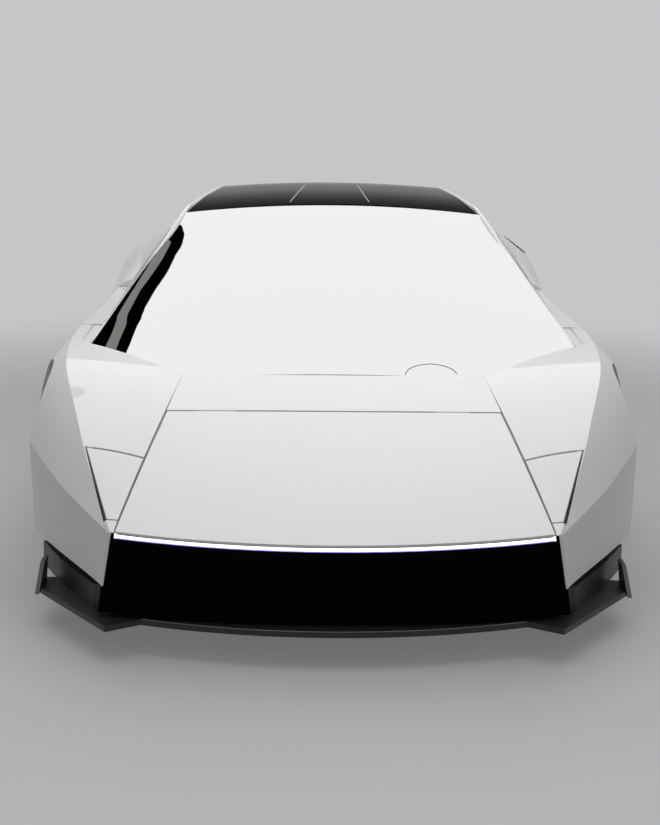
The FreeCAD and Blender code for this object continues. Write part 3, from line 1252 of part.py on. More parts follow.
def one_seat():
    x0, x1 = SEAT_X - SEAT_HALF_WIDTH, SEAT_X + SEAT_HALF_WIDTH
    parts = []
    for shares, inner, outer in (
        (SEAT_BASE_SHARES, x0 + SEAT_BASE_INSET, x1 - SEAT_BASE_INSET),
        (SEAT_BACK_SHARES, x0 + SEAT_BACK_INSET, x1 - SEAT_BACK_INSET),
        (BACK_BOLSTER_SHARES, x0, x0 + BACK_BOLSTER_WIDTH),
        (BACK_BOLSTER_SHARES, x1 - BACK_BOLSTER_WIDTH, x1),
        (THIGH_BOLSTER_SHARES, x0, x0 + THIGH_BOLSTER_WIDTH),
        (THIGH_BOLSTER_SHARES, x1 - THIGH_BOLSTER_WIDTH, x1),
    ):
        outline = from_shares(shares, SEAT_FRONT_Y, SEAT_LENGTH, TUB_FLOOR, SEAT_TOP - TUB_FLOOR)
        parts.append(side_prism(outline, inner, outer))
    return joined(parts)


# Engine and gearbox: one plain mass behind the cabin
ENGINE_HALF = 0.270 * HALF_WIDTH
ENGINE_FRONT_Y = 0.2261 * HALF_LENGTH
ENGINE_REAR_Y = 0.4957 * HALF_LENGTH
ENGINE_LOW = 0.1326 * HEIGHT
ENGINE_TOP = 0.4951 * HEIGHT
HEAD_INNER_X = 0.090 * HALF_WIDTH
HEAD_OUTER_X = 0.300 * HALF_WIDTH
HEAD_TOP = 0.6189 * HEIGHT
HEAD_INSET = 40.0
PLENUM_HALF = 0.110 * HALF_WIDTH
PLENUM_TOP = 0.6587 * HEIGHT
ENGINE_LAP = 20.0
GEARBOX_HALF = 0.170 * HALF_WIDTH
GEARBOX_LOW = 0.1680 * HEIGHT
GEARBOX_TOP = 0.4598 * HEIGHT
ENGINE_FOOT_HALF = 0.200 * HALF_WIDTH
ENGINE_FOOT_INSET = 130.0


def engine():
    front, rear = ENGINE_FRONT_Y + HEAD_INSET, ENGINE_REAR_Y - HEAD_INSET
    low = ENGINE_TOP - ENGINE_LAP
    head = side_prism(
        [(front, low), (rear, low), (rear - HEAD_INSET / 4, HEAD_TOP), (front + HEAD_INSET / 4, HEAD_TOP)],
        HEAD_INNER_X, HEAD_OUTER_X,
    )
    return joined([
        block(-ENGINE_HALF, ENGINE_HALF, ENGINE_FRONT_Y, ENGINE_REAR_Y, ENGINE_LOW, ENGINE_TOP),
        head, mirrored(head),
        block(-PLENUM_HALF, PLENUM_HALF, front, rear, low, PLENUM_TOP),
        block(-GEARBOX_HALF, GEARBOX_HALF, ENGINE_REAR_Y - SINK, GEARBOX_REAR_Y, GEARBOX_LOW, GEARBOX_TOP),
        block(
            -ENGINE_FOOT_HALF, ENGINE_FOOT_HALF, ENGINE_FRONT_Y + ENGINE_FOOT_INSET, ENGINE_REAR_Y - ENGINE_FOOT_INSET,
            TUB_LOW + TRAY_THICKNESS, ENGINE_LOW + SINK,
        ),
    ])


# Tyres and rims, made round the X axis at the origin
BEAD_SHARE = 0.88
TYRE_SHOULDER = 28.0
RIM_WALL = 12.0
RIM_LIP = 10.0
HUB_RADIUS = 64.0
HUB_LAP = 16.0
DISC_INNER_X = 6.0
DISC_EDGE_GAP = 8.0
SPOKE_FACE_INSET = 22.0
SPOKE_PAIR_SHARE = 0.22
SPOKE_TAPER_SHARE = 0.7
HUB_BORE_DEPTH = 62.0
SPOKE_ROOT = (15.0, -26.0, -4.0)
SPOKE_MIDDLE = (11.0, -14.0, 4.0)
SPOKE_TIP = (17.0, -12.0, 14.0)


def tyre(radius, rim_radius, width):
    half = width / 2
    profile = [
        v(-half * BEAD_SHARE, 0, rim_radius), v(-half, 0, radius - TYRE_SHOULDER),
        v(-half + TYRE_SHOULDER, 0, radius), v(half - TYRE_SHOULDER, 0, radius),
        v(half, 0, radius - TYRE_SHOULDER), v(half * BEAD_SHARE, 0, rim_radius),
    ]
    return polygon(profile).revolve(v(0, 0, 0), v(1, 0, 0), 360)


def rim(rim_radius, width):
    half = width / 2 * BEAD_SHARE
    face_x = half - SPOKE_FACE_INSET
    profile = [
        v(-half, 0, rim_radius), v(-half, 0, rim_radius - RIM_WALL), v(half - RIM_LIP, 0, rim_radius - RIM_WALL),
        v(half, 0, rim_radius - RIM_WALL / 2), v(half, 0, rim_radius),
    ]
    parts = [
        polygon(profile).revolve(v(0, 0, 0), v(1, 0, 0), 360),
        cylinder_x(HUB_RADIUS, DISC_INNER_X + DISC_THICKNESS - SINK, face_x - DISC_INNER_X, 0.0, 0.0),
        cylinder_x(DISC_RADIUS - DISC_EDGE_GAP, DISC_INNER_X, DISC_INNER_X + DISC_THICKNESS, 0.0, 0.0),
    ]
    for i in range(SPOKES):
        sections = []
        for r, (across, back, front) in (
            (HUB_RADIUS - HUB_LAP, SPOKE_ROOT),
            (rim_radius * 0.6, SPOKE_MIDDLE),
            (rim_radius - RIM_WALL / 3, SPOKE_TIP),
        ):
            x0, x1, narrow = face_x + back, face_x + front, across * SPOKE_TAPER_SHARE
            sections.append(ring([v(x0, -across, r), v(x1, -narrow, r), v(x1, narrow, r), v(x0, across, r)]))
        spoke = loft(sections)
        shift = SPOKE_PAIR_SHARE if i % 2 else -SPOKE_PAIR_SHARE
        spoke.rotate(v(0, 0, 0), v(1, 0, 0), 360.0 / SPOKES * (i + shift))
        parts.append(spoke)
    return joined(parts).cut(cylinder_x(AXLE_RADIUS + BEARING_GAP, 0.0, HUB_BORE_DEPTH, 0.0, 0.0))


# Uprights with their calipers, made at the wheel's centre, and the arms that carry them
CALIPER_RISE = 16.0
CALIPER_BACK_X = -22.0
CALIPER_FACE_X = 55.0
CALIPER_INNER_RADIUS = 104.0
CALIPER_GAP = 6.0
CALIPER_ROOT = (90.0, 78.0)
CALIPER_SPREAD = 98.0
UPRIGHT_BACK_X = -76.0
UPRIGHT_FACE_X = -22.0
UPRIGHT_HALF_LENGTH = 36.0
UPRIGHT_HALF_HEIGHT = 82.0
SPINDLE_BACK_X = -30.0
SPINDLE_FACE_X = 60.0
STEERING_ARM_BACK_X = -60.0
STEERING_ARM_LENGTH = 150.0
STEERING_ARM_START = 20.0
STEERING_ARM_HALF_HEIGHT = 30.0
ARM_RADIUS = 10.0
EYE_RADIUS = 25.0
FRONT_ARM_SPREAD = 110.0
FRONT_ARM_RISE = 100.0
REAR_ARM_SPREAD = 150.0
REAR_ARM_RISE = 75.0
REAR_APEX_INSET = 50.0
HALF_SHAFT_INSET = 60.0
HALF_SHAFT_RADIUS = 16.0


def caliper():
    outer = cylinder_x(DISC_RADIUS + CALIPER_RISE, CALIPER_BACK_X, CALIPER_FACE_X, 0.0, 0.0)
    shell = outer.cut([
        cylinder_x(CALIPER_INNER_RADIUS, CALIPER_BACK_X - SINK, CALIPER_FACE_X + SINK, 0.0, 0.0),
        cylinder_x(DISC_RADIUS, 0.0, DISC_INNER_X + DISC_THICKNESS + CALIPER_GAP, 0.0, 0.0),
    ])
    root_y, root_z = CALIPER_ROOT
    far = DISC_RADIUS + OVERRUN
    wedge = [(root_y, -root_z), (far, -CALIPER_SPREAD), (far, CALIPER_SPREAD), (root_y, root_z)]
    return shell.common(side_prism(wedge, CALIPER_BACK_X - SINK, CALIPER_FACE_X + SINK))


def upright(pins):
    parts = [
        block(
            UPRIGHT_BACK_X, UPRIGHT_FACE_X, -UPRIGHT_HALF_LENGTH, UPRIGHT_HALF_LENGTH, -UPRIGHT_HALF_HEIGHT,
            UPRIGHT_HALF_HEIGHT,
        ),
        cylinder_x(AXLE_RADIUS, SPINDLE_BACK_X, SPINDLE_FACE_X, 0.0, 0.0),
        block(
            STEERING_ARM_BACK_X, UPRIGHT_FACE_X + SINK, STEERING_ARM_START, STEERING_ARM_LENGTH,
            -STEERING_ARM_HALF_HEIGHT, STEERING_ARM_HALF_HEIGHT,
        ),
        caliper(),
    ]
    if pins:
        parts.append(Part.makeCylinder(KINGPIN_RADIUS, KINGPIN_LENGTH, v(-KINGPIN_INSET, 0, -KINGPIN_LENGTH / 2)))
    return joined(parts)


def rod(a, b, radius):
    return Part.makeCylinder(radius, (b - a).Length, a, b - a)


def wishbone(inner_x, spread, apex, bore):
    """Two rods from the chassis to an eye at the apex, with a bore where a kingpin turns in it."""
    eye = Part.makeCylinder(EYE_RADIUS, 2 * ARM_RADIUS, apex - v(0, 0, ARM_RADIUS))
    rods = [rod(v(inner_x - OVERRUN, apex.y + side * spread, apex.z), apex, ARM_RADIUS) for side in (-1, 1)]
    arm = joined([eye] + rods).cut(block(0.0, inner_x, apex.y - LENGTH, apex.y + LENGTH, 0.0, HEIGHT))
    return arm.cut(Part.makeCylinder(bore, 4 * ARM_RADIUS, apex - v(0, 0, 2 * ARM_RADIUS))) if bore else arm


def front_suspension():
    kingpin = v(FRONT_TRACK / 2 - KINGPIN_INSET, FRONT_AXLE_Y, FRONT_TYRE_RADIUS)
    arms = []
    for side in (-1, 1):
        apex = kingpin + v(0, 0, side * FRONT_ARM_RISE)
        arms.append(wishbone(TUB_HALF_WIDTH, FRONT_ARM_SPREAD, apex, KINGPIN_RADIUS + BEARING_GAP))
    return Part.makeCompound(arms + [mirrored(arm) for arm in arms])


def rear_suspension():
    hub = v(REAR_TRACK / 2, REAR_AXLE_Y, REAR_TYRE_RADIUS)
    carrier = upright(False)
    carrier.translate(hub)
    shaft = rod(v(GEARBOX_HALF, REAR_AXLE_Y, hub.z), hub - v(HALF_SHAFT_INSET, 0, 0), HALF_SHAFT_RADIUS)
    parts = [carrier, shaft]
    for side in (-1, 1):
        apex = hub + v(-REAR_APEX_INSET, 0, side * REAR_ARM_RISE)
        parts.append(wishbone(GEARBOX_HALF, REAR_ARM_SPREAD, apex, 0.0))
    side = joined(parts)
    return Part.makeCompound([side, mirrored(side)])


def placed(shape, place):
    shape.translate(place)
    return shape


def main():
    os.makedirs("parts", exist_ok=True)
    wing_body = wing_blank()
    wing = front_wing(wing_body)
    rail = roof_rail().cut(wing)
    rails = Part.makeCompound([rail, mirrored(rail)])
    wing_bodies = Part.makeCompound([wing_body, mirrored(wing_body)])
    quarter_body = quarter_blank()
    pane = side_glass()
    vent = vent_glass(wing, rail)
    save("floor_tub", tub().cut(rails))
    save("bonnet", bonnet())
    save("cowl_panel", cowl())
    save("front_light_bar", light_bar(wing_bodies))
    save("front_mask", front_mask(wing_bodies))
    save("front_splitter", splitter())
    save("lower_bumper", lower_bumper())
    save_pair("front_wing", wing)
    save_pair("headlamp", headlamp(wing_body))
    save("windscreen", windscreen(rails))
    save("roof_rails", rails)
    save("roof_panel", roof_panel(rails))
    save_pair("door", door(pane))
    save_pair("side_glass", pane)
    save("vent_glass", Part.makeCompound([vent, mirrored(vent)]))
    save_pair("rear_quarter", quarter(quarter_body, rails))
    save("side_trim", side_trim(quarter_body))
    save("engine_lid", engine_lid())
    save("rear_window", rear_window())
    save("tail_panel", tail())
    save("rear_grille", rear_grille())
    save("tail_light_bar", tail_light())
    save("rear_diffuser", diffuser())
    save("exhaust_tips", exhaust())
    save("dashboard", dashboard())
    save("steering_wheel", steering_wheel())
    save_pair("seat", one_seat())
    save("engine_block", engine())
    save("suspension_arms", Part.makeCompound([front_suspension(), rear_suspension()]))
    front = v(FRONT_TRACK / 2, FRONT_AXLE_Y, FRONT_TYRE_RADIUS)
    rear = v(REAR_TRACK / 2, REAR_AXLE_Y, REAR_TYRE_RADIUS)
    save_pair("front_knuckle", placed(upright(True), front))
    save_pair("front_tyre", placed(tyre(FRONT_TYRE_RADIUS, FRONT_RIM_RADIUS, FRONT_TYRE_WIDTH), front))
    save_pair("front_rim", placed(rim(FRONT_RIM_RADIUS, FRONT_TYRE_WIDTH), front))
    save_pair("rear_tyre", placed(tyre(REAR_TYRE_RADIUS, REAR_RIM_RADIUS, REAR_TYRE_WIDTH), rear))
    save_pair("rear_rim", placed(rim(REAR_RIM_RADIUS, REAR_TYRE_WIDTH), rear))


main()
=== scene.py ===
import json
import math
import bmesh
import bpy
from mathutils import Matrix, Vector
from mathutils.bvhtree import BVHTree


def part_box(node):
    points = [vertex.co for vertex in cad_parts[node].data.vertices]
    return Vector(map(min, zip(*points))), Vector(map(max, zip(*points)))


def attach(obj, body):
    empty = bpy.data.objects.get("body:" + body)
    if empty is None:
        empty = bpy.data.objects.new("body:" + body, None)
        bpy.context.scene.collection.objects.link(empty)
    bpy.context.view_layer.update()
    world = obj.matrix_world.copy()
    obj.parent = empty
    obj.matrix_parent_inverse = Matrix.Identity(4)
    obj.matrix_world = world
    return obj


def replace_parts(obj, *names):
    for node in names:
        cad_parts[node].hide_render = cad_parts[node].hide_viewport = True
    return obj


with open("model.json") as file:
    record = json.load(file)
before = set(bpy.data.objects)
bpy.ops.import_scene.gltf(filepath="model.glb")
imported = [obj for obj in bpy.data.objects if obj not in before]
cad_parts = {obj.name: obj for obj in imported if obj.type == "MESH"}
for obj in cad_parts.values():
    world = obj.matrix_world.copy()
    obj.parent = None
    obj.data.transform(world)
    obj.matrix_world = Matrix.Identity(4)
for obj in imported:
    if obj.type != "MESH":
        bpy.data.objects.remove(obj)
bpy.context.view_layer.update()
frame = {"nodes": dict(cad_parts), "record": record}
scene = bpy.context.scene
scene.view_settings.view_transform = "Standard"

# Directions and sides of the car, which faces -Y
LEFT, RIGHT, AHEAD, BACK, DOWN, UP = [Vector(v) for v in (
    (1, 0, 0), (-1, 0, 0), (0, -1, 0), (0, 1, 0), (0, 0, -1), (0, 0, 1),
)]
SIDES = ((1, "left"), (-1, "right"))


def placed(name, data):
    """Makes an object of some data and puts it in the scene."""
    made = bpy.data.objects.new(name, data)
    scene.collection.objects.link(made)
    return made


# Camera, at the photograph's viewing angle
PICTURE = (660.0, 825.0)
CAMERA_PLACE = Vector((-0.053, -6.666, 1.556))
CAMERA_TURN = [math.radians(a) for a in (78.9196, -0.4809, -0.3658)]
LENS = 74.88
SENSOR = 36.0

camera_data = bpy.data.cameras.new("camera")
camera_data.lens = LENS
camera_data.sensor_width = SENSOR
camera = placed("camera", camera_data)
camera.location = CAMERA_PLACE
camera.rotation_euler = CAMERA_TURN
scene.camera = camera
FOCAL = LENS / SENSOR * PICTURE[1]
CAMERA_AXES = camera.rotation_euler.to_matrix()

# Shares of a noise's range over which colour and roughness drift
DRIFT_LOW = 0.3
DRIFT_HIGH = 0.7


# Materials by name: most have colour variation, roughness variation and a fine bump
SHADERS = {}


def nodes_of(tree, *kinds):
    return [tree.nodes.new("ShaderNode" + kind) for kind in kinds]


def wire(tree, *links):
    """Joins an output of each first node to an input of its second."""
    for start, output, end, entry in links:
        tree.links.new(start.outputs[output], end.inputs[entry])


def put(node, **values):
    """Sets a node's inputs by their labels."""
    for label, value in values.items():
        node.inputs[label.replace("_", " ")].default_value = value


class Shader:
    """A material with the nodes that vary it."""

    def __init__(self, name, colour, roughness, metallic=0.0, **sockets):
        self.material = SHADERS[name] = bpy.data.materials.new(name)
        self.material.use_nodes = True
        self.tree = self.material.node_tree
        self.surface = self.tree.nodes["Principled BSDF"]
        put(self.surface, Base_Color=(*colour, 1.0), Roughness=roughness, Metallic=metallic, **sockets)
        self.colour, self.roughness = colour, roughness
        self.place = self.node("TexCoord").outputs["Object"]

    def node(self, kind, **values):
        made, = nodes_of(self.tree, kind)
        put(made, **values)
        return made

    def link(self, a, b):
        self.tree.links.new(a, b)

    def noise(self, scale, detail=3.0):
        made = self.node("TexNoise", Scale=scale, Detail=detail)
        self.link(self.place, made.inputs["Vector"])
        return made.outputs["Fac"]

    def cells(self, scale):
        made = self.node("TexVoronoi", Scale=scale)
        self.link(self.place, made.inputs["Vector"])
        return made.outputs["Distance"]

    def shade(self, value, amount):
        """Lets the colour drift by a share of itself."""
        ramp = self.node("ValToRGB")
        steps = zip(ramp.color_ramp.elements, (DRIFT_LOW, DRIFT_HIGH), (1.0 - amount, 1.0 + amount))
        for element, position, factor in steps:
            element.position = position
            element.color = (*[min(1.0, c * factor) for c in self.colour], 1.0)
        self.link(value, ramp.inputs["Fac"])
        self.link(ramp.outputs["Color"], self.surface.inputs["Base Color"])
        return self

    def rough(self, value, amount):
        """Lets the roughness drift by a share of itself."""
        low, high = self.roughness * (1.0 - amount), min(1.0, self.roughness * (1.0 + amount))
        made = self.node("MapRange", From_Min=DRIFT_LOW, From_Max=DRIFT_HIGH, To_Min=low, To_Max=high)
        self.link(value, made.inputs["Value"])
        self.link(made.outputs["Result"], self.surface.inputs["Roughness"])
        return self

    def bump(self, height, strength, distance):
        made = self.node("Bump", Strength=strength, Distance=distance)
        self.link(height, made.inputs["Height"])
        self.link(made.outputs["Normal"], self.surface.inputs["Normal"])
        return self


def plain(name, colour, roughness, grain, depth, drift=0.06, metallic=0.0, **sockets):
    """A surface with a broad drift in colour and roughness and a fine grain."""
    made = Shader(name, colour, roughness, metallic, **sockets)
    broad = made.noise(3.0)
    fine = made.noise(grain, 4.0)
    made.shade(broad, drift).rough(fine, 0.25).bump(fine, 0.25, depth)


def paint(name, colour, roughness):
    """A clear-coated paint with fine flakes."""
    made = Shader(name, colour, roughness, Coat_Weight=0.7, Coat_Roughness=0.03, Specular_IOR_Level=0.6)
    flakes = made.cells(2600.0)
    made.shade(made.noise(1.6), 0.012).rough(flakes, 0.3).bump(flakes, 0.06, 0.00002)


def glass(name, tint, mirror, roughness):
    """Tinted glass: a see-through body under a mirror coat that grows towards grazing angles."""
    made = SHADERS[name] = bpy.data.materials.new(name)
    made.use_nodes = True
    tree = made.node_tree
    tree.nodes.remove(tree.nodes["Principled BSDF"])
    clear, coat, edge, rise = nodes_of(tree, "BsdfTransparent", "BsdfGlossy", "LayerWeight", "MapRange")
    mix, place, drift, tints = nodes_of(tree, "MixShader", "TexCoord", "TexNoise", "ValToRGB")
    put(drift, Scale=2.0)
    put(edge, Blend=0.35)
    put(coat, Roughness=roughness, Color=(0.97, 0.965, 0.955, 1.0))
    put(rise, To_Min=mirror)
    for element, factor in zip(tints.color_ramp.elements, (0.92, 1.08)):
        element.color = (*[min(1.0, c * factor) for c in tint], 1.0)
    wire(
        tree, (place, "Object", drift, "Vector"), (drift, "Fac", tints, "Fac"),
        (tints, "Color", clear, "Color"), (edge, "Fresnel", rise, "Value"), (rise, "Result", mix, "Fac"),
        (clear, "BSDF", mix, 1), (coat, "BSDF", mix, 2),
        (mix, "Shader", tree.nodes["Material Output"], "Surface"),
    )


def lamp(name, colour, glow, strength):
    """A lit lens with fine ribs."""
    glow = (*glow, 1.0)
    made = Shader(name, colour, 0.12, Coat_Weight=1.0, Emission_Strength=strength, Emission_Color=glow)
    ribs = made.noise(260.0)
    made.shade(made.noise(30.0), 0.05).bump(ribs, 0.2, 0.0002)


def leather(name, colour, roughness):
    """A soft sheen over pores."""
    made = Shader(name, colour, roughness, Sheen_Weight=0.15)
    pores = made.cells(700.0)
    made.shade(made.noise(6.0), 0.12).rough(made.noise(40.0), 0.2).bump(pores, 0.35, 0.0004)


def webbing(name, colour, roughness):
    """A woven strap."""
    made = Shader(name, colour, roughness)
    made.shade(made.noise(40.0), 0.2).bump(made.cells(1100.0), 0.4, 0.0004)


def brushed(name, colour, roughness, grain=400.0):
    """Metal with fine lines along Y."""
    made = Shader(name, colour, roughness, 1.0)
    stretch = made.node("Mapping", Scale=(grain, 6.0, grain))
    lines = made.node("TexNoise", Scale=1.0, Detail=4.0)
    made.link(made.place, stretch.inputs["Vector"])
    made.link(stretch.outputs["Vector"], lines.inputs["Vector"])
    fine = lines.outputs["Fac"]
    made.shade(made.noise(8.0), 0.08).rough(fine, 0.3).bump(fine, 0.15, 0.0001)


paint("body_paint", (0.86, 0.86, 0.85), 0.38)
plain("gloss_black", (0.003, 0.003, 0.004), 0.10, 30.0, 0.00002, IOR=1.035)
plain("satin_black", (0.016, 0.016, 0.018), 0.42, 900.0, 0.00015)
plain("structure", (0.035, 0.036, 0.038), 0.55, 500.0, 0.0003, 0.15)
lamp("front_light", (0.92, 0.92, 0.98), (0.93, 0.90, 1.0), 1.6)
lamp("tail_light", (0.42, 0.010, 0.012), (1.0, 0.03, 0.02), 0.35)
glass("screen_glass", (0.16, 0.16, 0.155), 0.44, 0.01)
glass("dark_glass", (0.16, 0.17, 0.18), 0.22, 0.01)
plain("trim", (0.028, 0.028, 0.030), 0.62, 650.0, 0.0004, 0.12)
leather("grip", (0.020, 0.020, 0.021), 0.5)
leather("upholstery", (0.060, 0.054, 0.050), 0.48)
plain("engine_metal", (0.42, 0.42, 0.43), 0.42, 260.0, 0.0004, 0.12, 0.9)
plain("suspension_steel", (0.085, 0.085, 0.09), 0.45, 300.0, 0.0003, 0.15, 0.4)
brushed("exhaust_steel", (0.52, 0.50, 0.48), 0.24)
plain("tyre", (0.016, 0.016, 0.017), 0.72, 420.0, 0.0004, 0.2)
brushed("wheel_alloy", (0.10, 0.10, 0.108), 0.30, 240.0)
plain("lens_clear", (0.60, 0.62, 0.66), 0.05, 60.0, 0.0001, 0.05, Coat_Weight=1.0)
lamp("screen_lit", (0.02, 0.03, 0.05), (0.25, 0.45, 0.75), 0.35)
plain("carpet", (0.018, 0.018, 0.020), 0.95, 900.0, 0.0012, 0.3, Sheen_Weight=0.3)
leather("piping", (0.16, 0.15, 0.145), 0.5)
webbing("belt_web", (0.020, 0.020, 0.022), 0.7)
plain("seam_grey", (0.5, 0.5, 0.52), 0.3, 60.0, 0.0001)
# A lighter grey for the strip on the splitter's upper edge: a painted highlight
plain("splitter_highlight_grey", (0.30, 0.30, 0.31), 0.3, 80.0, 0.0001)
lamp("light_rim", (0.20, 0.14, 0.55), (0.34, 0.24, 1.0), 1.1)
lamp("tail_line", (0.8, 0.06, 0.05), (1.0, 0.10, 0.07), 1.4)

node_slots = {part["node"]: part["material_slot"] for part in frame["record"]["subparts"]}
for node, holder in frame["nodes"].items():
    for place in holder.material_slots:
        place.material = SHADERS[node_slots[node]]


# Mesh helpers
def circle(count, closed=False):
    """Angles round a circle; a closed one comes back to its start."""
    return [2 * math.pi * k / count for k in range(count + 1 if closed else count)]


def power(value, exponent):
    return math.copysign(abs(value) ** exponent, value)


def squared(half_x, half_y, exponent, lift, count, closed=False):
    """A round outline that is drawn out towards its corners."""
    return [
        (half_x * power(math.cos(a), exponent), half_y * power(math.sin(a), exponent), lift)
        for a in circle(count, closed)
    ]


def rotation(axis, degrees):
    return Matrix.Rotation(math.radians(degrees), 4, axis)


moved = Matrix.Translation


class Form:
    """Collects solids for one piece."""

    def __init__(self):
        self.verts, self.faces = [], []

    def rings(self, rings, closed_ring=True, caps=True, around=False, place=None):
        """Skins a row of rings that have equal counts; around joins the last ring to the first."""
        count, base = len(rings[0]), len(self.verts)
        self.verts += [place @ Vector(v) if place else Vector(v) for ring in rings for v in ring]
        faces = []
        for i in range(len(rings) if around else len(rings) - 1):
            a, b = i * count, (i + 1) % len(rings) * count
            for j in range(count if closed_ring else count - 1):
                k = (j + 1) % count
                faces.append([a + j, a + k, b + k, b + j])
        if caps and not around:
            faces.append(list(range(count))[::-1])
            faces.append([(len(rings) - 1) * count + j for j in range(count)])
        self.faces += [[base + i for i in face] for face in faces]
        return self

    def slab(self, low, high, bevel, place=None):
        """A box with chamfered edges all round."""
        x0, y0, z0 = low
        x1, y1, z1 = high

        def ring(z, inset):
            a, b, c, d = x0 + inset, x1 - inset, y0 + inset, y1 - inset
            return [
                (a + bevel, c, z), (b - bevel, c, z), (b, c + bevel, z), (b, d - bevel, z),
                (b - bevel, d, z), (a + bevel, d, z), (a, d - bevel, z), (a, c + bevel, z),
            ]

        levels = ((z0, bevel), (z0 + bevel, 0), (z1 - bevel, 0), (z1, bevel))
        return self.rings([ring(z, inset) for z, inset in levels], place=place)

    def turned(self, profile, segments, place=None, caps=False, modulate=None):
        """Revolves (along, radius) points about the local X axis."""
        rings = []
        for i, angle in enumerate(circle(segments)):
            ring = []
            for along, radius in profile:
                r = modulate(i, along, radius) if modulate else radius
                ring.append((along, r * math.cos(angle), r * math.sin(angle)))
            rings.append(ring)
        return self.rings(rings, closed_ring=caps, caps=False, around=True, place=place)

    def tube(self, points, radius, sides=12, flat=1.0):
        """A round or flattened bar along a line of points."""
        rings = []
        last = len(points) - 1
        for i, point in enumerate(points):
            ahead = Vector(points[min(i + 1, last)]) - Vector(points[max(i - 1, 0)])
            ahead.normalize()
            side = ahead.cross(UP).normalized()
            top = side.cross(ahead).normalized()
            r = radius(i / last) if callable(radius) else radius
            rings.append([
                Vector(point) + side * r * math.cos(a) + top * r * flat * math.sin(a) for a in circle(sides)
            ])
        return self.rings(rings)

    def make(self, name, slot, shader=None, angle=35.0, body="chassis"):
        """Makes one object that rides a body, with smooth faces and sharp edges kept."""
        mesh = bpy.data.meshes.new(name)
        mesh.from_pydata([tuple(v) for v in self.verts], [], self.faces)
        mesh.validate()
        made = placed(name, mesh)
        mesh.materials.append(SHADERS[shader or slot])
        shell = bmesh.new()
        shell.from_mesh(mesh)
        bmesh.ops.recalc_face_normals(shell, faces=shell.faces)
        shell.to_mesh(mesh)
        shell.free()
        mesh.shade_smooth()
        mesh.set_sharp_from_angle(angle=math.radians(angle))
        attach(made, body)
        return made


def tree_of(node):
    mesh = frame["nodes"][node].data
    faces = [tuple(face.vertices) for face in mesh.polygons]
    return BVHTree.FromPolygons([tuple(v.co) for v in mesh.vertices], faces)


def middle_of(node):
    low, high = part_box(node)
    return moved((low + high) / 2)


def touch(tree, start, way):
    """Where a straight line from a point first meets a node, and the way its surface faces there."""
    point, normal, _, _ = tree.ray_cast(Vector(start), way)
    if normal.dot(way) > 0:
        normal = -normal
    return point, normal


def seat_on(tree, start, way, spin_up=UP):
    """A frame on a surface: X across, Y up the surface, Z out of it."""
    point, normal = touch(tree, start, way)
    across = spin_up.cross(normal).normalized()
    rise = normal.cross(across)
    place = Matrix((across, rise, normal)).transposed().to_4x4()
    place.translation = point
    return place


def seen_on(tree, places):
    """Where places of the picture lie on a node, and the way its surface faces there."""
    rays = [Vector(((u - PICTURE[0] / 2) / FOCAL, -(v - PICTURE[1] / 2) / FOCAL, -1.0)) for u, v in places]
    hits = [tree.ray_cast(CAMERA_PLACE, (CAMERA_AXES @ ray).normalized()) for ray in rays]
    return [hit[:2] for hit in hits if hit[0]]


def smooth_line(points, count):
    """A smooth run of points through a few, by Catmull and Rom's rule."""
    points = [Vector(p) for p in points]
    ends = [points[0] * 2 - points[1]] + points + [points[-1] * 2 - points[-2]]
    out = []
    for i in range(count + 1):
        t = i / count * (len(points) - 1)
        k = min(int(t), len(points) - 2)
        s = t - k
        a, b, c, d = ends[k:k + 4]
        bend = 2 * a - 5 * b + 4 * c - d
        twist = 3 * b - a - 3 * c + d
        out.append(0.5 * (2 * b + (c - a) * s + bend * s * s + twist * s ** 3))
    return out


def sides_of(outline, steps):
    """A run of points along each side of an outline."""
    return [[
        (x0 + (x1 - x0) * k / steps, y0 + (y1 - y0) * k / steps) for k in range(steps + 1)
    ] for (x0, y0), (x1, y1) in zip(outline, outline[1:])]


def ribbon(form, line, width, height):
    """A thin strip that lies on a surface, its top drawn in a little; the line has points and normals."""
    rings = []
    for i, (point, normal) in enumerate(line):
        ahead = (line[min(i + 1, len(line) - 1)][0] - line[max(i - 1, 0)][0]).normalized()
        side = ahead.cross(normal).normalized() * (width / 2)
        rise = normal * height
        rings.append([
            point - side - rise, point + side - rise, point + side * 0.8 + rise, point - side * 0.8 + rise,
        ])
    return form.rings(rings)


# Tyres with moulded tread: radius, rim radius and width of each
FRONT_TYRE = (0.312, 0.232, 0.235)
REAR_TYRE = (0.340, 0.248, 0.305)
TREAD_SEGMENTS = 216
TREAD_DEPTH = 0.007
TREAD_SHARE = 0.86
CROWN_DROP = 0.0048
GROOVES = 3
GROOVE_LIP = 0.005
GROOVE_FLOOR = 0.6
# The wall, as shares of the half width, with heights over the rim and then depths below the crown
LOWER_WALL = ((0.86, 0.001), (0.93, 0.004), (0.95, 0.010), (0.94, 0.014), (0.985, 0.026))
UPPER_WALL = ((0.998, 0.036), (0.985, 0.022), (0.945, 0.012), (0.90, 0.006))
# The small cuts across the tread: share of the half width they span, spacing and slant in segments, depth
SIPE_BAND = (0.34, 0.97)
SIPE_STEP = 6
SIPE_SLANT = 4
SIPE_DEPTH = TREAD_DEPTH * 0.8
SIPE_RIM = 0.008


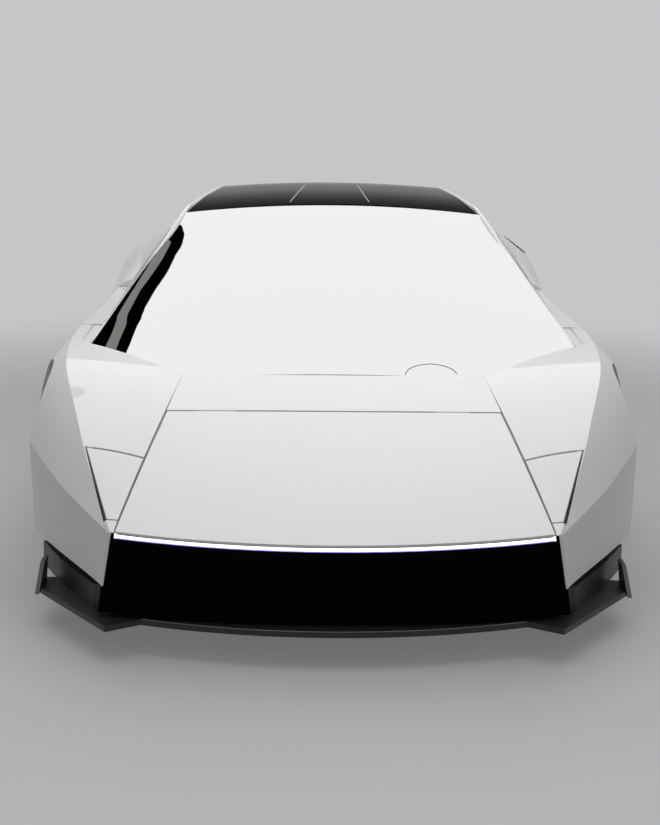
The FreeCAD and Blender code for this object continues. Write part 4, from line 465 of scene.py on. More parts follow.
def tyre_profile(radius, rim_radius, width):
    half = width / 2

    def crown(x):
        return radius - CROWN_DROP * (abs(x) / half) ** 2

    wall = [(-half * share, rim_radius + rise) for share, rise in LOWER_WALL]
    wall += [(-half * share, radius - drop) for share, drop in UPPER_WALL]
    tread = []
    span = half * TREAD_SHARE
    land = 2 * span / (GROOVES + 1)
    for g in range(GROOVES + 1):
        start = -span + g * land
        end = start + land
        for x in (start + GROOVE_LIP, (start * 2 + end) / 3, (start + 2 * end) / 3, end - GROOVE_LIP):
            tread.append((x, crown(x)))
        if g < GROOVES:
            tread.append((end - GROOVE_LIP * GROOVE_FLOOR, crown(end) - TREAD_DEPTH))
            tread.append((end + GROOVE_LIP * GROOVE_FLOOR, crown(end) - TREAD_DEPTH))
    return wall + tread + [(-x, r) for x, r in reversed(wall)]


# Wheel bolts and centre caps; the bolt's profiles are shares of its length and of its width across flats
BOLTS = 5
BOLT_CIRCLE = 0.042
BOLT_ACROSS = 0.019
BOLT_LENGTH = 0.016
BOLT_COLLAR = ((0.0, 0.0), (0.0, 0.72), (0.2, 0.72), (0.25, 0.5))
BOLT_HEAD = ((0.25, 0.5), (0.9, 0.5), (1.0, 0.4), (0.8, 0.25), (0.8, 0.0))
RIM_SHARE = 0.88
HUB_DEPTH = 0.028
CENTRE_CAP = (
    (0.0, 0.0), (0.0, 0.028), (0.010, 0.027), (0.013, 0.024), (0.012, 0.021), (0.0145, 0.010), (0.015, 0.0),
)


def hex_bolt(form, place, across, length):
    """A bolt head on a turned collar, along the local X axis."""
    for profile, sides in ((BOLT_COLLAR, 18), (BOLT_HEAD, 6)):
        form.turned([(length * a, across * r) for a, r in profile], sides, place)


for end, (radius, rim_radius, width) in (("front", FRONT_TYRE), ("rear", REAR_TYRE)):
    half = width / 2

    def sipes(segment, along, r):
        if SIPE_BAND[0] < abs(along) / half < SIPE_BAND[1] and r > radius - SIPE_RIM:
            if (segment + int(round(along / half * SIPE_SLANT))) % SIPE_STEP == 0:
                return r - SIPE_DEPTH
        return r

    for side, word in SIDES:
        tyre, rim, body = [f"{end}_{part}_{word}" for part in ("tyre", "rim", "wheel")]
        profile = tyre_profile(radius, rim_radius, width)
        form = Form().turned(profile, TREAD_SEGMENTS, middle_of(tyre), True, sipes)
        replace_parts(form.make(tyre + "_tread", "tyre", angle=25.0, body=body), tyre)

        turn = middle_of(rim) @ rotation("Z", 0.0 if side > 0 else 180.0)
        face = half * RIM_SHARE - HUB_DEPTH
        form = Form()
        for angle in circle(BOLTS):
            spot = (face, BOLT_CIRCLE * math.cos(angle), BOLT_CIRCLE * math.sin(angle))
            hex_bolt(form, turn @ moved(spot), BOLT_ACROSS, BOLT_LENGTH)
        form.turned(CENTRE_CAP, 36, turn @ moved((face, 0, 0)))
        form.make(rim + "_bolts", "suspension_steel", angle=30.0, body=body)

# Padding: steps along and round each pad, how square it is, and the width of its sewn channels
PAD_STEPS = 72
PAD_SIDES = 28
PAD_END = 0.12
PAD_SQUARENESS = 0.62
CHANNEL_WIDTH = 0.006
PIPING = 0.0022
PIPING_INSET = 3
PIPING_OUT = 0.985
PIPING_UP = 0.45


def side_frames(path, count):
    """Points along a side-view line with the direction that its face looks to."""
    run = smooth_line([(0.0, y, z) for y, z in path], count)
    frames = []
    for i, point in enumerate(run):
        ahead = (run[min(i + 1, count)] - run[max(i - 1, 0)]).normalized()
        frames.append((point, Vector((0.0, -ahead.z, ahead.y))))
    return frames


def pad(name, path, middle, half, rise, drop, seams=(), seam_depth=0.35):
    """A closed pad along a side-view line, crowned, drawn in between its corners and sewn across.

    The middle's place across, the half width and the rise are each a start and a change towards the end.
    """
    frames = side_frames(path, PAD_STEPS)
    length = sum((frames[i + 1][0] - frames[i][0]).length for i in range(PAD_STEPS))
    form, piping = Form(), Form()
    rings, edges = [], ([], [])
    for i, (point, face) in enumerate(frames):
        s = i / PAD_STEPS
        across, wide, high = [start + change * s for start, change in (middle, half, rise)]
        reach = abs(2.0 * s - 1.0)
        close = (1.0 - reach ** 14) ** 0.5 if 0 < i < PAD_STEPS else PAD_END
        waist = wide * (0.965 + 0.035 * reach ** 2) * (0.90 + 0.10 * close)
        sewn = sum(math.exp(-((s - seam) * length / CHANNEL_WIDTH) ** 2) for seam in seams)
        up = high * close * (1.0 - seam_depth * min(1.0, sewn))
        ring = []
        for a in circle(PAD_SIDES):
            out = across + waist * power(math.cos(a), PAD_SQUARENESS)
            lift = (up if math.sin(a) > 0 else drop * close) * power(math.sin(a), PAD_SQUARENESS)
            ring.append(Vector((out, point.y, point.z)) + face * lift)
        rings.append(ring)
        if PIPING_INSET <= i <= PAD_STEPS - PIPING_INSET:
            for side, line in zip((1, -1), edges):
                edge = Vector((across + side * waist * PIPING_OUT, point.y, point.z))
                line.append(edge + face * up * PIPING_UP)
    form.rings(rings)
    form.make(name, "upholstery", angle=60.0)
    for line in edges:
        piping.tube(line, PIPING, 8)
    piping.make(name + "_piping", "upholstery", "piping")


# Seats: side-view lines as (y, z), seams as shares of a pad's length
SEAT_X = 0.360
SHELL_LINE = ((0.255, 0.19), (0.315, 0.36), (0.372, 0.62), (0.398, 0.80), (0.404, 0.935))
SHELL_STEPS = 40
SHELL_SPANS = 8
SHELL_HALF = 0.232
SHELL_TAPER = 0.085
SHELL_TAPER_FROM = 0.55
SHELL_THICKNESS = 0.010
BASE_BOX = ((-0.19, -0.205, 0.150), (0.19, 0.262, 0.205))
RUNNER_BOX = ((-0.016, -0.225, 0.1205), (0.016, 0.275, 0.152))
RUNNER_OUT = 0.15
# Name, line, half width, rise, drop, seams and their depth
MIDDLE_PADS = (
    (
        "seat_cushion", ((-0.232, 0.222), (-0.205, 0.262), (0.0, 0.240), (0.205, 0.222)),
        (0.176, 0.0), (0.050, 0.0), 0.030, (0.22, 0.36, 0.50, 0.64, 0.78), 0.30,
    ),
    (
        "seat_back", ((0.222, 0.285), (0.270, 0.46), (0.318, 0.66), (0.342, 0.765)),
        (0.160, -0.010), (0.048, 0.0), 0.026, (0.14, 0.28, 0.42, 0.56, 0.70, 0.84), 0.34,
    ),
    (
        "head_pad", ((0.350, 0.785), (0.366, 0.86), (0.372, 0.932)),
        (0.122, -0.020), (0.046, 0.0), 0.018, (0.5,), 0.15,
    ),
)
# Name, line, distance from the seat's middle, half width, rise and drop
BOLSTERS = (
    (
        "thigh_bolster", ((-0.222, 0.232), (-0.180, 0.275), (0.05, 0.268), (0.245, 0.262)),
        (0.212, 0.0), (0.034, 0.0), (0.062, -0.012), 0.050,
    ),
    (
        "back_bolster", ((0.232, 0.285), (0.262, 0.46), (0.315, 0.66), (0.350, 0.775)),
        (0.204, -0.022), (0.036, 0.0), (0.092, -0.046), 0.030,
    ),
)
BELT_OUT = 0.285
BELT_HALF = 0.022
BELT_THICKNESS = 0.0016
BELT_LINE = ((0.0, 0.400, 0.780), (-0.03, 0.330, 0.60), (-0.005, 0.300, 0.42), (0.0, 0.290, 0.335))
BELT_ANCHOR = ((-0.006, 0.268, 0.320), (0.008, 0.314, 0.352))
BUCKLE_OUT = 0.232
BUCKLE_BOX = ((-0.012, 0.205, 0.235), (0.012, 0.240, 0.330))
BUCKLE_KEY = ((-0.008, 0.210, 0.328), (0.008, 0.234, 0.336))


def shifted(box, x):
    return [(corner[0] + x, corner[1], corner[2]) for corner in box]


def seat(side, word):
    centre = SEAT_X * side
    shell = Form()
    rings = []
    for i, (point, face) in enumerate(side_frames(SHELL_LINE, SHELL_STEPS)):
        s = i / SHELL_STEPS
        narrow = max(0.0, (s - SHELL_TAPER_FROM) / (1 - SHELL_TAPER_FROM)) ** 1.5
        half = SHELL_HALF - SHELL_TAPER * narrow
        wrap = 0.085 * (1 - s) + 0.02
        ring = []
        for k in range(2 * SHELL_SPANS + 1):
            t = k / SHELL_SPANS - 1.0
            ring.append(Vector((centre + half * t, point.y, point.z)) + face * (wrap * abs(t) ** 4 - 0.004))
        rings.append(ring + [p - face * SHELL_THICKNESS for p in reversed(ring)])
    shell.rings(rings)
    shell.slab(*shifted(BASE_BOX, centre), 0.012)
    for x in (centre - RUNNER_OUT, centre + RUNNER_OUT):
        shell.slab(*shifted(RUNNER_BOX, x), 0.004)
    made = shell.make(f"seat_shell_{word}", "trim", "satin_black")
    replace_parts(made, f"seat_{word}")
    for name, line, half, rise, drop, seams, depth in MIDDLE_PADS:
        pad(f"{name}_{word}", line, (centre, 0.0), half, rise, drop, seams, depth)
    for way, edge in ((side, "outer"), (-side, "inner")):
        for name, line, (near, change), half, rise, drop in BOLSTERS:
            pad(f"{name}_{edge}_{word}", line, (centre + way * near, way * change), half, rise, drop)

    belt, outer = Form(), centre + side * BELT_OUT
    line = smooth_line([(outer + side * x, y, z) for x, y, z in BELT_LINE], 30)
    belt.rings([[
        p + Vector((0, -BELT_HALF, 0)), p + Vector((0, BELT_HALF, 0)),
        p + Vector((side * BELT_THICKNESS, BELT_HALF, 0)), p + Vector((side * BELT_THICKNESS, -BELT_HALF, 0)),
    ] for p in line])
    belt.slab(*shifted(BELT_ANCHOR, outer), 0.003)
    belt.make(f"belt_{word}", "trim", "belt_web")
    buckle, inner = Form(), centre - side * BUCKLE_OUT
    buckle.slab(*shifted(BUCKLE_BOX, inner), 0.005)
    buckle.slab(*shifted(BUCKLE_KEY, inner), 0.002)
    buckle.make(f"buckle_{word}", "trim")


for side, word in SIDES:
    seat(side, word)

# Steering wheel: a padded rim with a flat foot, three spokes, a hub cover, keys and paddles
WHEEL_PLACE = moved((0.360, -0.4699, 0.7000)) @ rotation("X", -68.0)
RIM_RADIUS = 0.172
RIM_FLAT = 0.150
RIM_STEPS = 120
RIM_HALF_WIDTH = 0.0140
RIM_HALF_DEPTH = 0.0148
THUMB_SWELL = 0.0010
THUMB_ANGLE = 0.35
THUMB_SPREAD = 0.16
RIM_LOOK_AHEAD = 0.02
STITCH_SHARE = 0.918
STITCH_HALF = 0.0035
STITCH_RADIUS = 0.0006
SPOKES = ((0.0, 0.162, 0.021), (180.0, 0.162, 0.021), (90.0, 0.142, 0.016))
SPOKE_STEPS = 12
HUB_RADIUS = 0.035
HUB_HALF_X = 0.056
HUB_HALF_Y = 0.050
HUB_LEVELS = (
    (0.80, -0.018), (1.0, -0.010), (1.0, 0.006), (0.95, 0.013), (0.80, 0.0165), (0.45, 0.0185), (0.10, 0.019),
)
KEY_PLACES = ((0.080, 0.001), (0.097, 0.001), (0.080, -0.012), (0.097, -0.012))
KEY_HALF = 0.0065
KEY_HEIGHT = 0.010
PADDLE = (
    (0.075, -0.030), (0.110, -0.048), (0.130, -0.044), (0.134, 0.0), (0.126, 0.030), (0.110, 0.032),
    (0.082, 0.014),
)


def rim_point(angle):
    return Vector((RIM_RADIUS * math.cos(angle), min(RIM_FLAT, RIM_RADIUS * math.sin(angle)), 0.0))


wheel, stitch, rings = Form(), Form(), []
for angle in circle(RIM_STEPS):
    centre = rim_point(angle)
    ahead = (rim_point(angle + RIM_LOOK_AHEAD) - rim_point(angle - RIM_LOOK_AHEAD)).normalized()
    out = ahead.cross(UP)
    from_thumb = abs(abs(angle - math.pi) - math.pi / 2) - math.pi / 2 + THUMB_ANGLE
    wide = RIM_HALF_WIDTH + THUMB_SWELL * math.exp(-(from_thumb / THUMB_SPREAD) ** 2)
    rings.append([
        WHEEL_PLACE @ (centre + out * wide * math.cos(a) + Vector((0, 0, RIM_HALF_DEPTH * math.sin(a))))
        for a in circle(20)
    ])
wheel.rings(rings, around=True)
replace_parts(wheel.make("steering_rim", "grip", angle=60.0, body="steering_wheel"), "steering_wheel")
for angle in circle(RIM_STEPS * 2):
    a = WHEEL_PLACE @ (rim_point(angle) * STITCH_SHARE + UP * STITCH_HALF)
    b = WHEEL_PLACE @ (rim_point(angle + RIM_LOOK_AHEAD) * STITCH_SHARE - UP * STITCH_HALF)
    stitch.tube([a, (a + b) / 2, b], STITCH_RADIUS, 6)
stitch.make("steering_stitches", "grip", "piping", body="steering_wheel")

hub = Form()
for angle, reach, half in SPOKES:
    rows = []
    for k in range(SPOKE_STEPS + 1):
        s = k / SPOKE_STEPS
        r = HUB_RADIUS + (reach - HUB_RADIUS) * s
        wide = half * (1.15 - 0.75 * s + 0.45 * s * s)
        lift = 0.006 - 0.010 * s
        rows.append([(r, y, lift + z) for y, z, _ in squared(wide, 0.006, 0.7, 0.0, 16)])
    hub.rings(rows, place=WHEEL_PLACE @ rotation("Z", angle))
hub.make("steering_spokes", "grip", "gloss_black", angle=50.0, body="steering_wheel")

rows = [squared(HUB_HALF_X * scale, HUB_HALF_Y * scale, 0.6, lift, 40) for scale, lift in HUB_LEVELS]
cover = Form().rings(rows, place=WHEEL_PLACE)
cover.make("steering_hub_cover", "grip", angle=50.0, body="steering_wheel")

keys = Form()
for way in (1, -1):
    for x, y in KEY_PLACES:
        low, high = (way * x - KEY_HALF, y, 0.009), (way * x + KEY_HALF, y + KEY_HEIGHT, 0.0135)
        keys.slab(low, high, 0.0015, WHEEL_PLACE)
    keys.rings([[(way * x, y, z) for x, y in PADDLE] for z in (-0.030, -0.0265)], place=WHEEL_PLACE)
keys.make("steering_keys", "grip", "satin_black", angle=30.0, body="steering_wheel")

# Dashboard: displays, air vents, a stitched roll along its rear edge and the glovebox seam
FRAME_STEPS = ((0.010, -0.004, 0.0), (0.010, 0.0, 0.7), (0.007, 0.0, 1.0), (0.003, 0.0, 1.0), (0.0, 0.0, 0.6))
FRAME_CORNER = 0.006
VENTS = ((-0.560, 0.062), (-0.205, 0.052), (0.170, 0.030), (0.590, 0.050))
VENT_HALF_HEIGHT = 0.0085
VENT_STEPS = ((0.006, -0.002), (0.006, 0.005), (0.003, 0.007), (0.0, 0.006), (0.0, 0.0015))
SLAT_HALF = 0.0035
SLAT_HALF_THICKNESS = 0.0008
SLAT_LEAN = 28.0
ROLL_Y = -0.690
ROLL_SPANS = ((-0.690, 0.196), (0.524, 0.690))
ROLL_STEPS = 40
STITCH_Y = -0.702
STITCH_STEP = 0.012
STITCH_LENGTH = 0.007
GLOVEBOX = ((-0.400, 0.632), (-0.120, 0.632), (-0.120, 0.515), (-0.400, 0.515), (-0.400, 0.632))
dash_tree = tree_of("dashboard")


def framed_panel(name, place, half_x, half_y, depth):
    """A lit display in a raised bevelled frame."""
    rim, rows = Form(), []
    for grow, base, share in FRAME_STEPS:
        x, y, r = half_x - FRAME_CORNER, half_y - FRAME_CORNER, FRAME_CORNER + grow
        ring = []
        for start, way, rise in ((0, 1, 1), (90, -1, 1), (180, -1, -1), (270, 1, -1)):
            for a in [math.radians(start + 22.5 * k) for k in range(5)]:
                ring.append((way * x + r * math.cos(a), rise * y + r * math.sin(a), base + depth * share))
        rows.append(ring)
    rim.rings(rows, caps=False, place=place)
    rim.make(name + "_frame", "trim", "gloss_black", angle=30.0)
    face = Form().slab((-half_x, -half_y, -0.003), (half_x, half_y, depth * 0.65), 0.0008, place)
    face.make(name, "trim", "screen_lit")


framed_panel("driver_display", seat_on(dash_tree, (0.360, -0.50, 0.705), AHEAD), 0.118, 0.020, 0.004)
place = seat_on(dash_tree, (0.0, -0.30, 0.610), AHEAD) @ rotation("X", -8.0) @ moved((0, 0, 0.010))
framed_panel("centre_display", place, 0.105, 0.062, 0.008)

for number, (x, half) in enumerate(VENTS):
    place = seat_on(dash_tree, (x, -0.45, 0.671), AHEAD)
    rows = [squared(half + grow, VENT_HALF_HEIGHT + grow, 0.45, lift, 32) for grow, lift in VENT_STEPS]
    vent = Form().rings(rows, caps=False, place=place)
    slat = ((-half, -SLAT_HALF, -SLAT_HALF_THICKNESS), (half, SLAT_HALF, SLAT_HALF_THICKNESS))
    for y in (-0.004, 0.004):
        vent.slab(*slat, 0.0004, place @ moved((0, y, 0.003)) @ rotation("X", SLAT_LEAN))
    for x in (-0.55 * half, 0.0, 0.55 * half):
        vent.slab((x - 0.0007, -0.008, 0.0008), (x + 0.0007, 0.008, 0.0025), 0.0003, place)
    vent.make(f"air_vent_{number}", "trim", "satin_black", angle=30.0)

roll, stitches = Form(), Form()
for x0, x1 in ROLL_SPANS:
    run = [x0 + (x1 - x0) * i / ROLL_STEPS for i in range(ROLL_STEPS + 1)]
    roll.tube([touch(dash_tree, (x, ROLL_Y, 0.90), DOWN)[0] + UP * 0.001 for x in run], 0.006, 10, 0.5)
    for i in range(int((x1 - x0) / STITCH_STEP)):
        x = x0 + STITCH_STEP * (i + 0.25)
        a, b = [touch(dash_tree, (at, STITCH_Y, 0.90), DOWN)[0] for at in (x, x + STITCH_LENGTH)]
        stitches.tube([a, (a + b) / 2 + UP * 0.0008, b], 0.0007, 6)
roll.make("dash_roll", "trim", "upholstery")
stitches.make("dash_stitches", "trim", "piping")

seam = Form()
for run in sides_of(GLOVEBOX, 12):
    ribbon(seam, [touch(dash_tree, (x, -0.30, z), AHEAD) for x, z in run], 0.004, 0.0007)
seam.make("glovebox_seam", "trim", "gloss_black")

# Console: a padded rest, drive keys, a turning knob, and a start key on a plinth
CONSOLE_START_Z = 0.70
CONSOLE_REST = ((0.010, 0.004), (0.080, 0.010), (0.200, 0.010), (0.275, 0.004))
DRIVE_KEYS_Y = (-0.470, -0.434, -0.398, -0.362)
KNOB_Y = -0.300
KNOB = (
    (0.0, 0.0), (0.0, 0.027), (0.004, 0.027), (0.006, 0.024), (0.020, 0.023), (0.023, 0.020), (0.024, 0.0),
)
KNOB_GRIP = (0.004, 0.022)
KNOB_RIBS = 48
START_Y = -0.520


def knurled(segment, along, radius):
    return radius - 0.0007 * (segment % 2) if KNOB_GRIP[0] < along < KNOB_GRIP[1] else radius


def console_place(y):
    return seat_on(dash_tree, (0.0, y, CONSOLE_START_Z), DOWN, BACK)


top = touch(dash_tree, (0.0, 0.10, CONSOLE_START_Z), DOWN)[0].z
line = [(y, top + rise) for y, rise in CONSOLE_REST]
pad("console_rest", line, (0.0, 0.0), (0.074, 0.0), (0.022, 0.0), 0.006, (0.5,), 0.12)
controls = Form()
for y in DRIVE_KEYS_Y:
    controls.slab((-0.024, -0.013, 0.0), (0.024, 0.013, 0.006), 0.003, console_place(y))
controls.turned(KNOB, KNOB_RIBS, console_place(KNOB_Y) @ rotation("Y", -90.0), modulate=knurled)
controls.slab((-0.030, -0.018, 0.0), (0.030, 0.018, 0.004), 0.002, console_place(START_Y))
controls.slab((-0.022, -0.013, 0.004), (0.022, 0.012, 0.008), 0.002, console_place(START_Y))
controls.make("console_controls", "trim", "satin_black", angle=30.0)

# Pedals with ribbed faces, a foot rest, floor mats with bound edges and sill plates
PEDALS = ((0.300, 0.045), (0.405, 0.028))
PEDAL_LEAN = 28.0
PEDAL_RIBS = (-0.042, -0.021, 0.0, 0.021, 0.042)
PEDAL_ARM = ((-0.912, 0.24), (-0.950, 0.34), (-0.965, 0.46))
MAT_X = (0.115, 0.400)
MAT_Y = (-0.860, -0.270)
MAT_Z = (0.1202, 0.127)
MAT_EDGE = 0.003
SILL_PLATE = (0.792, 0.3315)

pedals = Form()
for x, half in PEDALS:
    lean = moved((x, -0.905, 0.235)) @ rotation("X", PEDAL_LEAN)
    pedals.slab((-half, -0.004, -0.055), (half, 0.004, 0.055), 0.003, lean)
    for z in PEDAL_RIBS:
        pedals.slab((-half * 0.82, 0.004, z - 0.004), (half * 0.82, 0.0065, z + 0.004), 0.001, lean)
    pedals.tube([(x, y, z) for y, z in PEDAL_ARM], 0.008, 12)
place = moved((0.170, -0.940, 0.245)) @ rotation("X", 35.0)
pedals.slab((-0.035, -0.006, -0.100), (0.035, 0.006, 0.100), 0.004, place)
pedals.make("pedals", "trim", "suspension_steel", angle=30.0)

for side, word in SIDES:
    inner, outer = MAT_X[0] * side, MAT_X[1] * side
    front, rear = MAT_Y
    low, high = (min(inner, outer), front, MAT_Z[0]), (max(inner, outer), rear, MAT_Z[1])
    Form().slab(low, high, MAT_EDGE).make(f"floor_mat_{word}", "upholstery", "carpet")
    edge = Form()
    outline = [(inner, front), (outer, front), (outer, rear), (inner, rear), (inner, front)]
    for run in sides_of(outline, 6):
        edge.tube([(x, y, MAT_Z[1]) for x, y in run], MAT_EDGE, 8)
    edge.make(f"mat_edge_{word}", "upholstery", "piping")
    line = [(side * SILL_PLATE[0], y / 100, SILL_PLATE[1]) for y in range(-70, 38, 4)]
    Form().tube(line, 0.022, 10, 0.10).make(f"sill_plate_{word}", "trim", "wheel_alloy")

# Doors: a liner, a padded card, a pull with an arm rest, a loudspeaker, and a flush outer handle
CABIN_X = 0.30
OUTSIDE_X = 1.4
PULL_Z = 0.600
PULL_ENDS = ((-0.420, 0.001), (-0.360, 0.024), (-0.180, 0.024), (-0.120, 0.001))
REST_Z = 0.455
REST_Y = [-0.45 + 0.08 * k for k in range(9)]
SPEAKER = ((-0.002, 0.058), (0.004, 0.058), (0.006, 0.054), (0.003, 0.050), (0.003, 0.0))
SPEAKER_DOTS = ((0.012, 6), (0.024, 12), (0.036, 18), (0.046, 24))
SPEAKER_DOT = ((0.0, 0.0022), (0.0012, 0.0014), (0.0012, 0.0))
HANDLE_HALF = (0.078, 0.0125)
HANDLE_STEPS = ((1.0, -0.004), (1.0, 0.0006), (0.97, 0.0018), (0.90, 0.0022))
HANDLE_SQUARE = 0.35

for side, word in SIDES:
    body = f"door_{word}"
    door_tree = tree_of(body)
    outward = LEFT * side

    def door_touch(y, z):
        return touch(door_tree, (side * CABIN_X, y, z), outward)

    def inner_strip(y0, y1, z0, z1, lift, steps):
        """A thin solid that follows the door's inner face, thinner at its top and foot."""
        rows = []
        for i in range(steps + 1):
            row = []
            for k in range(7):
                point, normal = door_touch(y0 + (y1 - y0) * i / steps, z0 + (z1 - z0) * k / 6)
                row.append(point + normal * (lift * (1.0 - abs(k / 3 - 1.0) ** 6)))
            rows.append(row + [p + outward * 0.0015 for p in reversed(row)])
        return Form().rings(rows)

    liner = inner_strip(-0.725, 0.375, 0.245, 0.655, 0.0025, 30)
    liner.make(f"door_liner_{word}", "trim", angle=40.0, body=body)
    card = inner_strip(-0.640, 0.330, 0.485, 0.585, 0.010, 20)
    card.make(f"door_card_{word}", "upholstery", angle=60.0, body=body)

    pull, speaker = Form(), Form()
    ends = [(door_touch(y, PULL_Z), lift) for y, lift in PULL_ENDS]
    pull.tube(smooth_line([p + n * lift for (p, n), lift in ends], 24), 0.009, 12, 0.55)
    rest = [p + n * 0.010 for p, n in [door_touch(y, REST_Z) for y in REST_Y]]
    pull.tube(rest, lambda s: 0.004 + 0.018 * (1 - abs(2 * s - 1) ** 6), 16, 0.6)
    pull.make(f"door_pull_{word}", "upholstery", "upholstery", angle=60.0, body=body)

    place = seat_on(door_tree, (side * CABIN_X, -0.560, 0.400), outward) @ rotation("Y", -90.0)
    speaker.turned(SPEAKER, 48, place)
    for ring, count in SPEAKER_DOTS:
        for a in circle(count):
            dot = place @ moved((0.003, ring * math.cos(a), ring * math.sin(a)))
            speaker.turned(SPEAKER_DOT, 6, dot)
    speaker.make(f"speaker_{word}", "trim", "satin_black", angle=30.0, body=body)

    place = seat_on(door_tree, (side * OUTSIDE_X, 0.300, 0.560), -outward)
    flap = Form().rings([
        squared(HANDLE_HALF[0] * scale, HANDLE_HALF[1] * scale ** 2, HANDLE_SQUARE, lift, 40)
        for scale, lift in HANDLE_STEPS
    ], place=place)
    flap.make(f"handle_flap_{word}", "body_paint", angle=30.0, body=body)
    line = squared(0.0805, 0.015, HANDLE_SQUARE, 0.0004, 60, True)
    groove = Form().tube([place @ Vector(p) for p in line], 0.0011, 6)
    groove.make(f"handle_groove_{word}", "trim", "gloss_black", body=body)

# Round seam of the filler flap on the left rear quarter
FILLER_RADIUS = 0.062
place = seat_on(tree_of("rear_quarter_left"), (OUTSIDE_X, 1.050, 0.820), RIGHT)
line = [place @ Vector(p) for p in squared(FILLER_RADIUS, FILLER_RADIUS, 1.0, 0.0006, 60, True)]
Form().tube(line, 0.0012, 6).make("filler_flap_seam", "trim", "gloss_black")

# Lens modules on the front faces of the pop-up lamps
LENS_X = (0.6065, 0.6305)
BEZEL = ((0.0108, -0.002), (0.0108, 0.0025), (0.0100, 0.0030), (0.0090, 0.0010), (0.0086, -0.0010))
DOME = ((-0.001, 0.0084), (0.0006, 0.0084), (0.0016, 0.0068), (0.0024, 0.004), (0.0027, 0.0))
for side, word in SIDES:
    body = f"headlamp_{word}"
    lamp_tree = tree_of(body)
    bezel, lens = Form(), Form()
    for x in LENS_X:
        place = seat_on(lamp_tree, (side * x, -2.040, 0.386), BACK)
        bezel.rings([squared(r, r, 0.7, lift, 32) for r, lift in BEZEL], caps=False, place=place)
        lens.turned(DOME, 32, place @ rotation("Y", -90.0))
    bezel.make(f"lamp_bezels_{word}", "gloss_black", angle=30.0, body=body)
    lens.make(f"lamp_lenses_{word}", "front_light", "lens_clear", body=body)

# Tail light: a ribbed cover with a bright line across it
RIBS = 110
RIB_HALF = 0.0052
RIB_DEPTH = 0.0035
low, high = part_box("tail_light_bar")
middle_z = (low.z + high.z) / 2
levels = ((low.z + 0.003, 0.3), (low.z + 0.006, 1.0), (high.z - 0.006, 1.0), (high.z - 0.003, 0.3))
ribs = Form()
for k in range(RIBS):
    x = low.x + 0.008 + (high.x - low.x - 0.016) * k / (RIBS - 1)
    ribs.rings([[
        (x + RIB_HALF * math.cos(a), high.y - 0.0012 + RIB_DEPTH * max(0.0, math.sin(a)) * scale, z)
        for a in circle(10)
    ] for z, scale in levels])
ribs.make("tail_light_ribs", "tail_light", angle=50.0)
low = (low.x + 0.006, high.y - 0.002, middle_z - 0.004)
high = (high.x - 0.006, high.y + 0.0045, middle_z + 0.004)
Form().slab(low, high, 0.001).make("tail_light_line", "tail_light", "tail_line")

# Engine: ribbed covers with bolts, a plenum, intake runners, an oil cap and ducts
BANK_X = 0.195
BANK_Y = 0.83
# Half width, height, lengthwise span, bevel and ribs of the covers
BANK_COVER = (0.055, 0.026, (0.640, 1.020), 0.010, (0.665, 0.055, 7, 0.042, 0.006))
PLENUM = (0.062, 0.034, (0.630, 1.030), 0.014, (0.650, 0.036, 11, 0.050, 0.005))
BOLT_ROWS = [0.660 + 0.085 * k for k in range(5)]
BOLT_OUT = 0.049
RUNNER_ROWS = [0.680 + 0.075 * k for k in range(5)]
# Each runner: distance from the middle, height, and whether that is over the middle's deck or the bank's
RUNNER_LINE = ((0.045, 0.010, True), (0.085, 0.045, True), (0.130, 0.034, False), (0.150, 0.012, False))
OIL_CAP = ((0.0, 0.0), (0.0, 0.024), (0.016, 0.024), (0.018, 0.020), (0.018, 0.0))
DUCT_LINE = (
    (0.020, 1.030, 0.012), (0.050, 1.085, 0.020), (0.150, 1.110, 0.010), (0.270, 1.070, -0.010),
    (0.330, 0.960, -0.030),
)
engine_tree = tree_of("engine_block")


def deck(x, y):
    return touch(engine_tree, (x, y, 1.3), DOWN)[0].z


def ribbed_cover(form, x, half, height, span, bevel, ribs):
    """A bevelled cover over a deck, with ribs across its top: their start, step, count and half sizes."""
    top = deck(x, BANK_Y)
    form.slab((x - half, span[0], top - 0.004), (x + half, span[1], top + height), bevel)
    first, step, count, wide, long = ribs
    for y in [first + step * k for k in range(count)]:
        low = (x - wide, y - long, top + height - 0.004)
        form.slab(low, (x + wide, y + long, top + height + 0.006), 0.003)


def fluted(segment, along, radius):
    return radius - 0.0015 * (segment % 3 == 0) if radius > 0.021 else radius


covers, fittings, runners, ducts = Form(), Form(), Form(), Form()
for side, _ in SIDES:
    x = BANK_X * side
    top = deck(x, BANK_Y)
    ribbed_cover(covers, x, *BANK_COVER)
    for y in BOLT_ROWS:
        for edge in (-BOLT_OUT, BOLT_OUT):
            hex_bolt(fittings, moved((x + edge, y, top + 0.024)) @ rotation("Y", -90.0), 0.010, 0.010)
    for y in RUNNER_ROWS:
        inner_top = deck(0.03 * side, y)
        line = [(out * side, y, (inner_top if inner else top) + rise) for out, rise, inner in RUNNER_LINE]
        runners.tube(smooth_line(line, 14), 0.017, 14)
top = deck(0.0, BANK_Y)
ribbed_cover(covers, 0.0, *PLENUM)
covers.make("engine_covers", "engine_metal", angle=30.0)
place = moved((BANK_X, 0.985, deck(BANK_X, BANK_Y) + 0.030)) @ rotation("Y", -90.0)
fittings.turned(OIL_CAP, 36, place, modulate=fluted)
fittings.make("engine_fittings", "engine_metal", "suspension_steel", angle=30.0)
runners.make("intake_runners", "engine_metal", "exhaust_steel")
for side, _ in SIDES:
    line = smooth_line([(x * side, y, top + rise) for x, y, rise in DUCT_LINE], 40)
    ducts.tube(line, lambda s: 0.030 + 0.0022 * math.sin(s * 120.0), 18)
ducts.make("intake_ducts", "engine_metal", "trim")

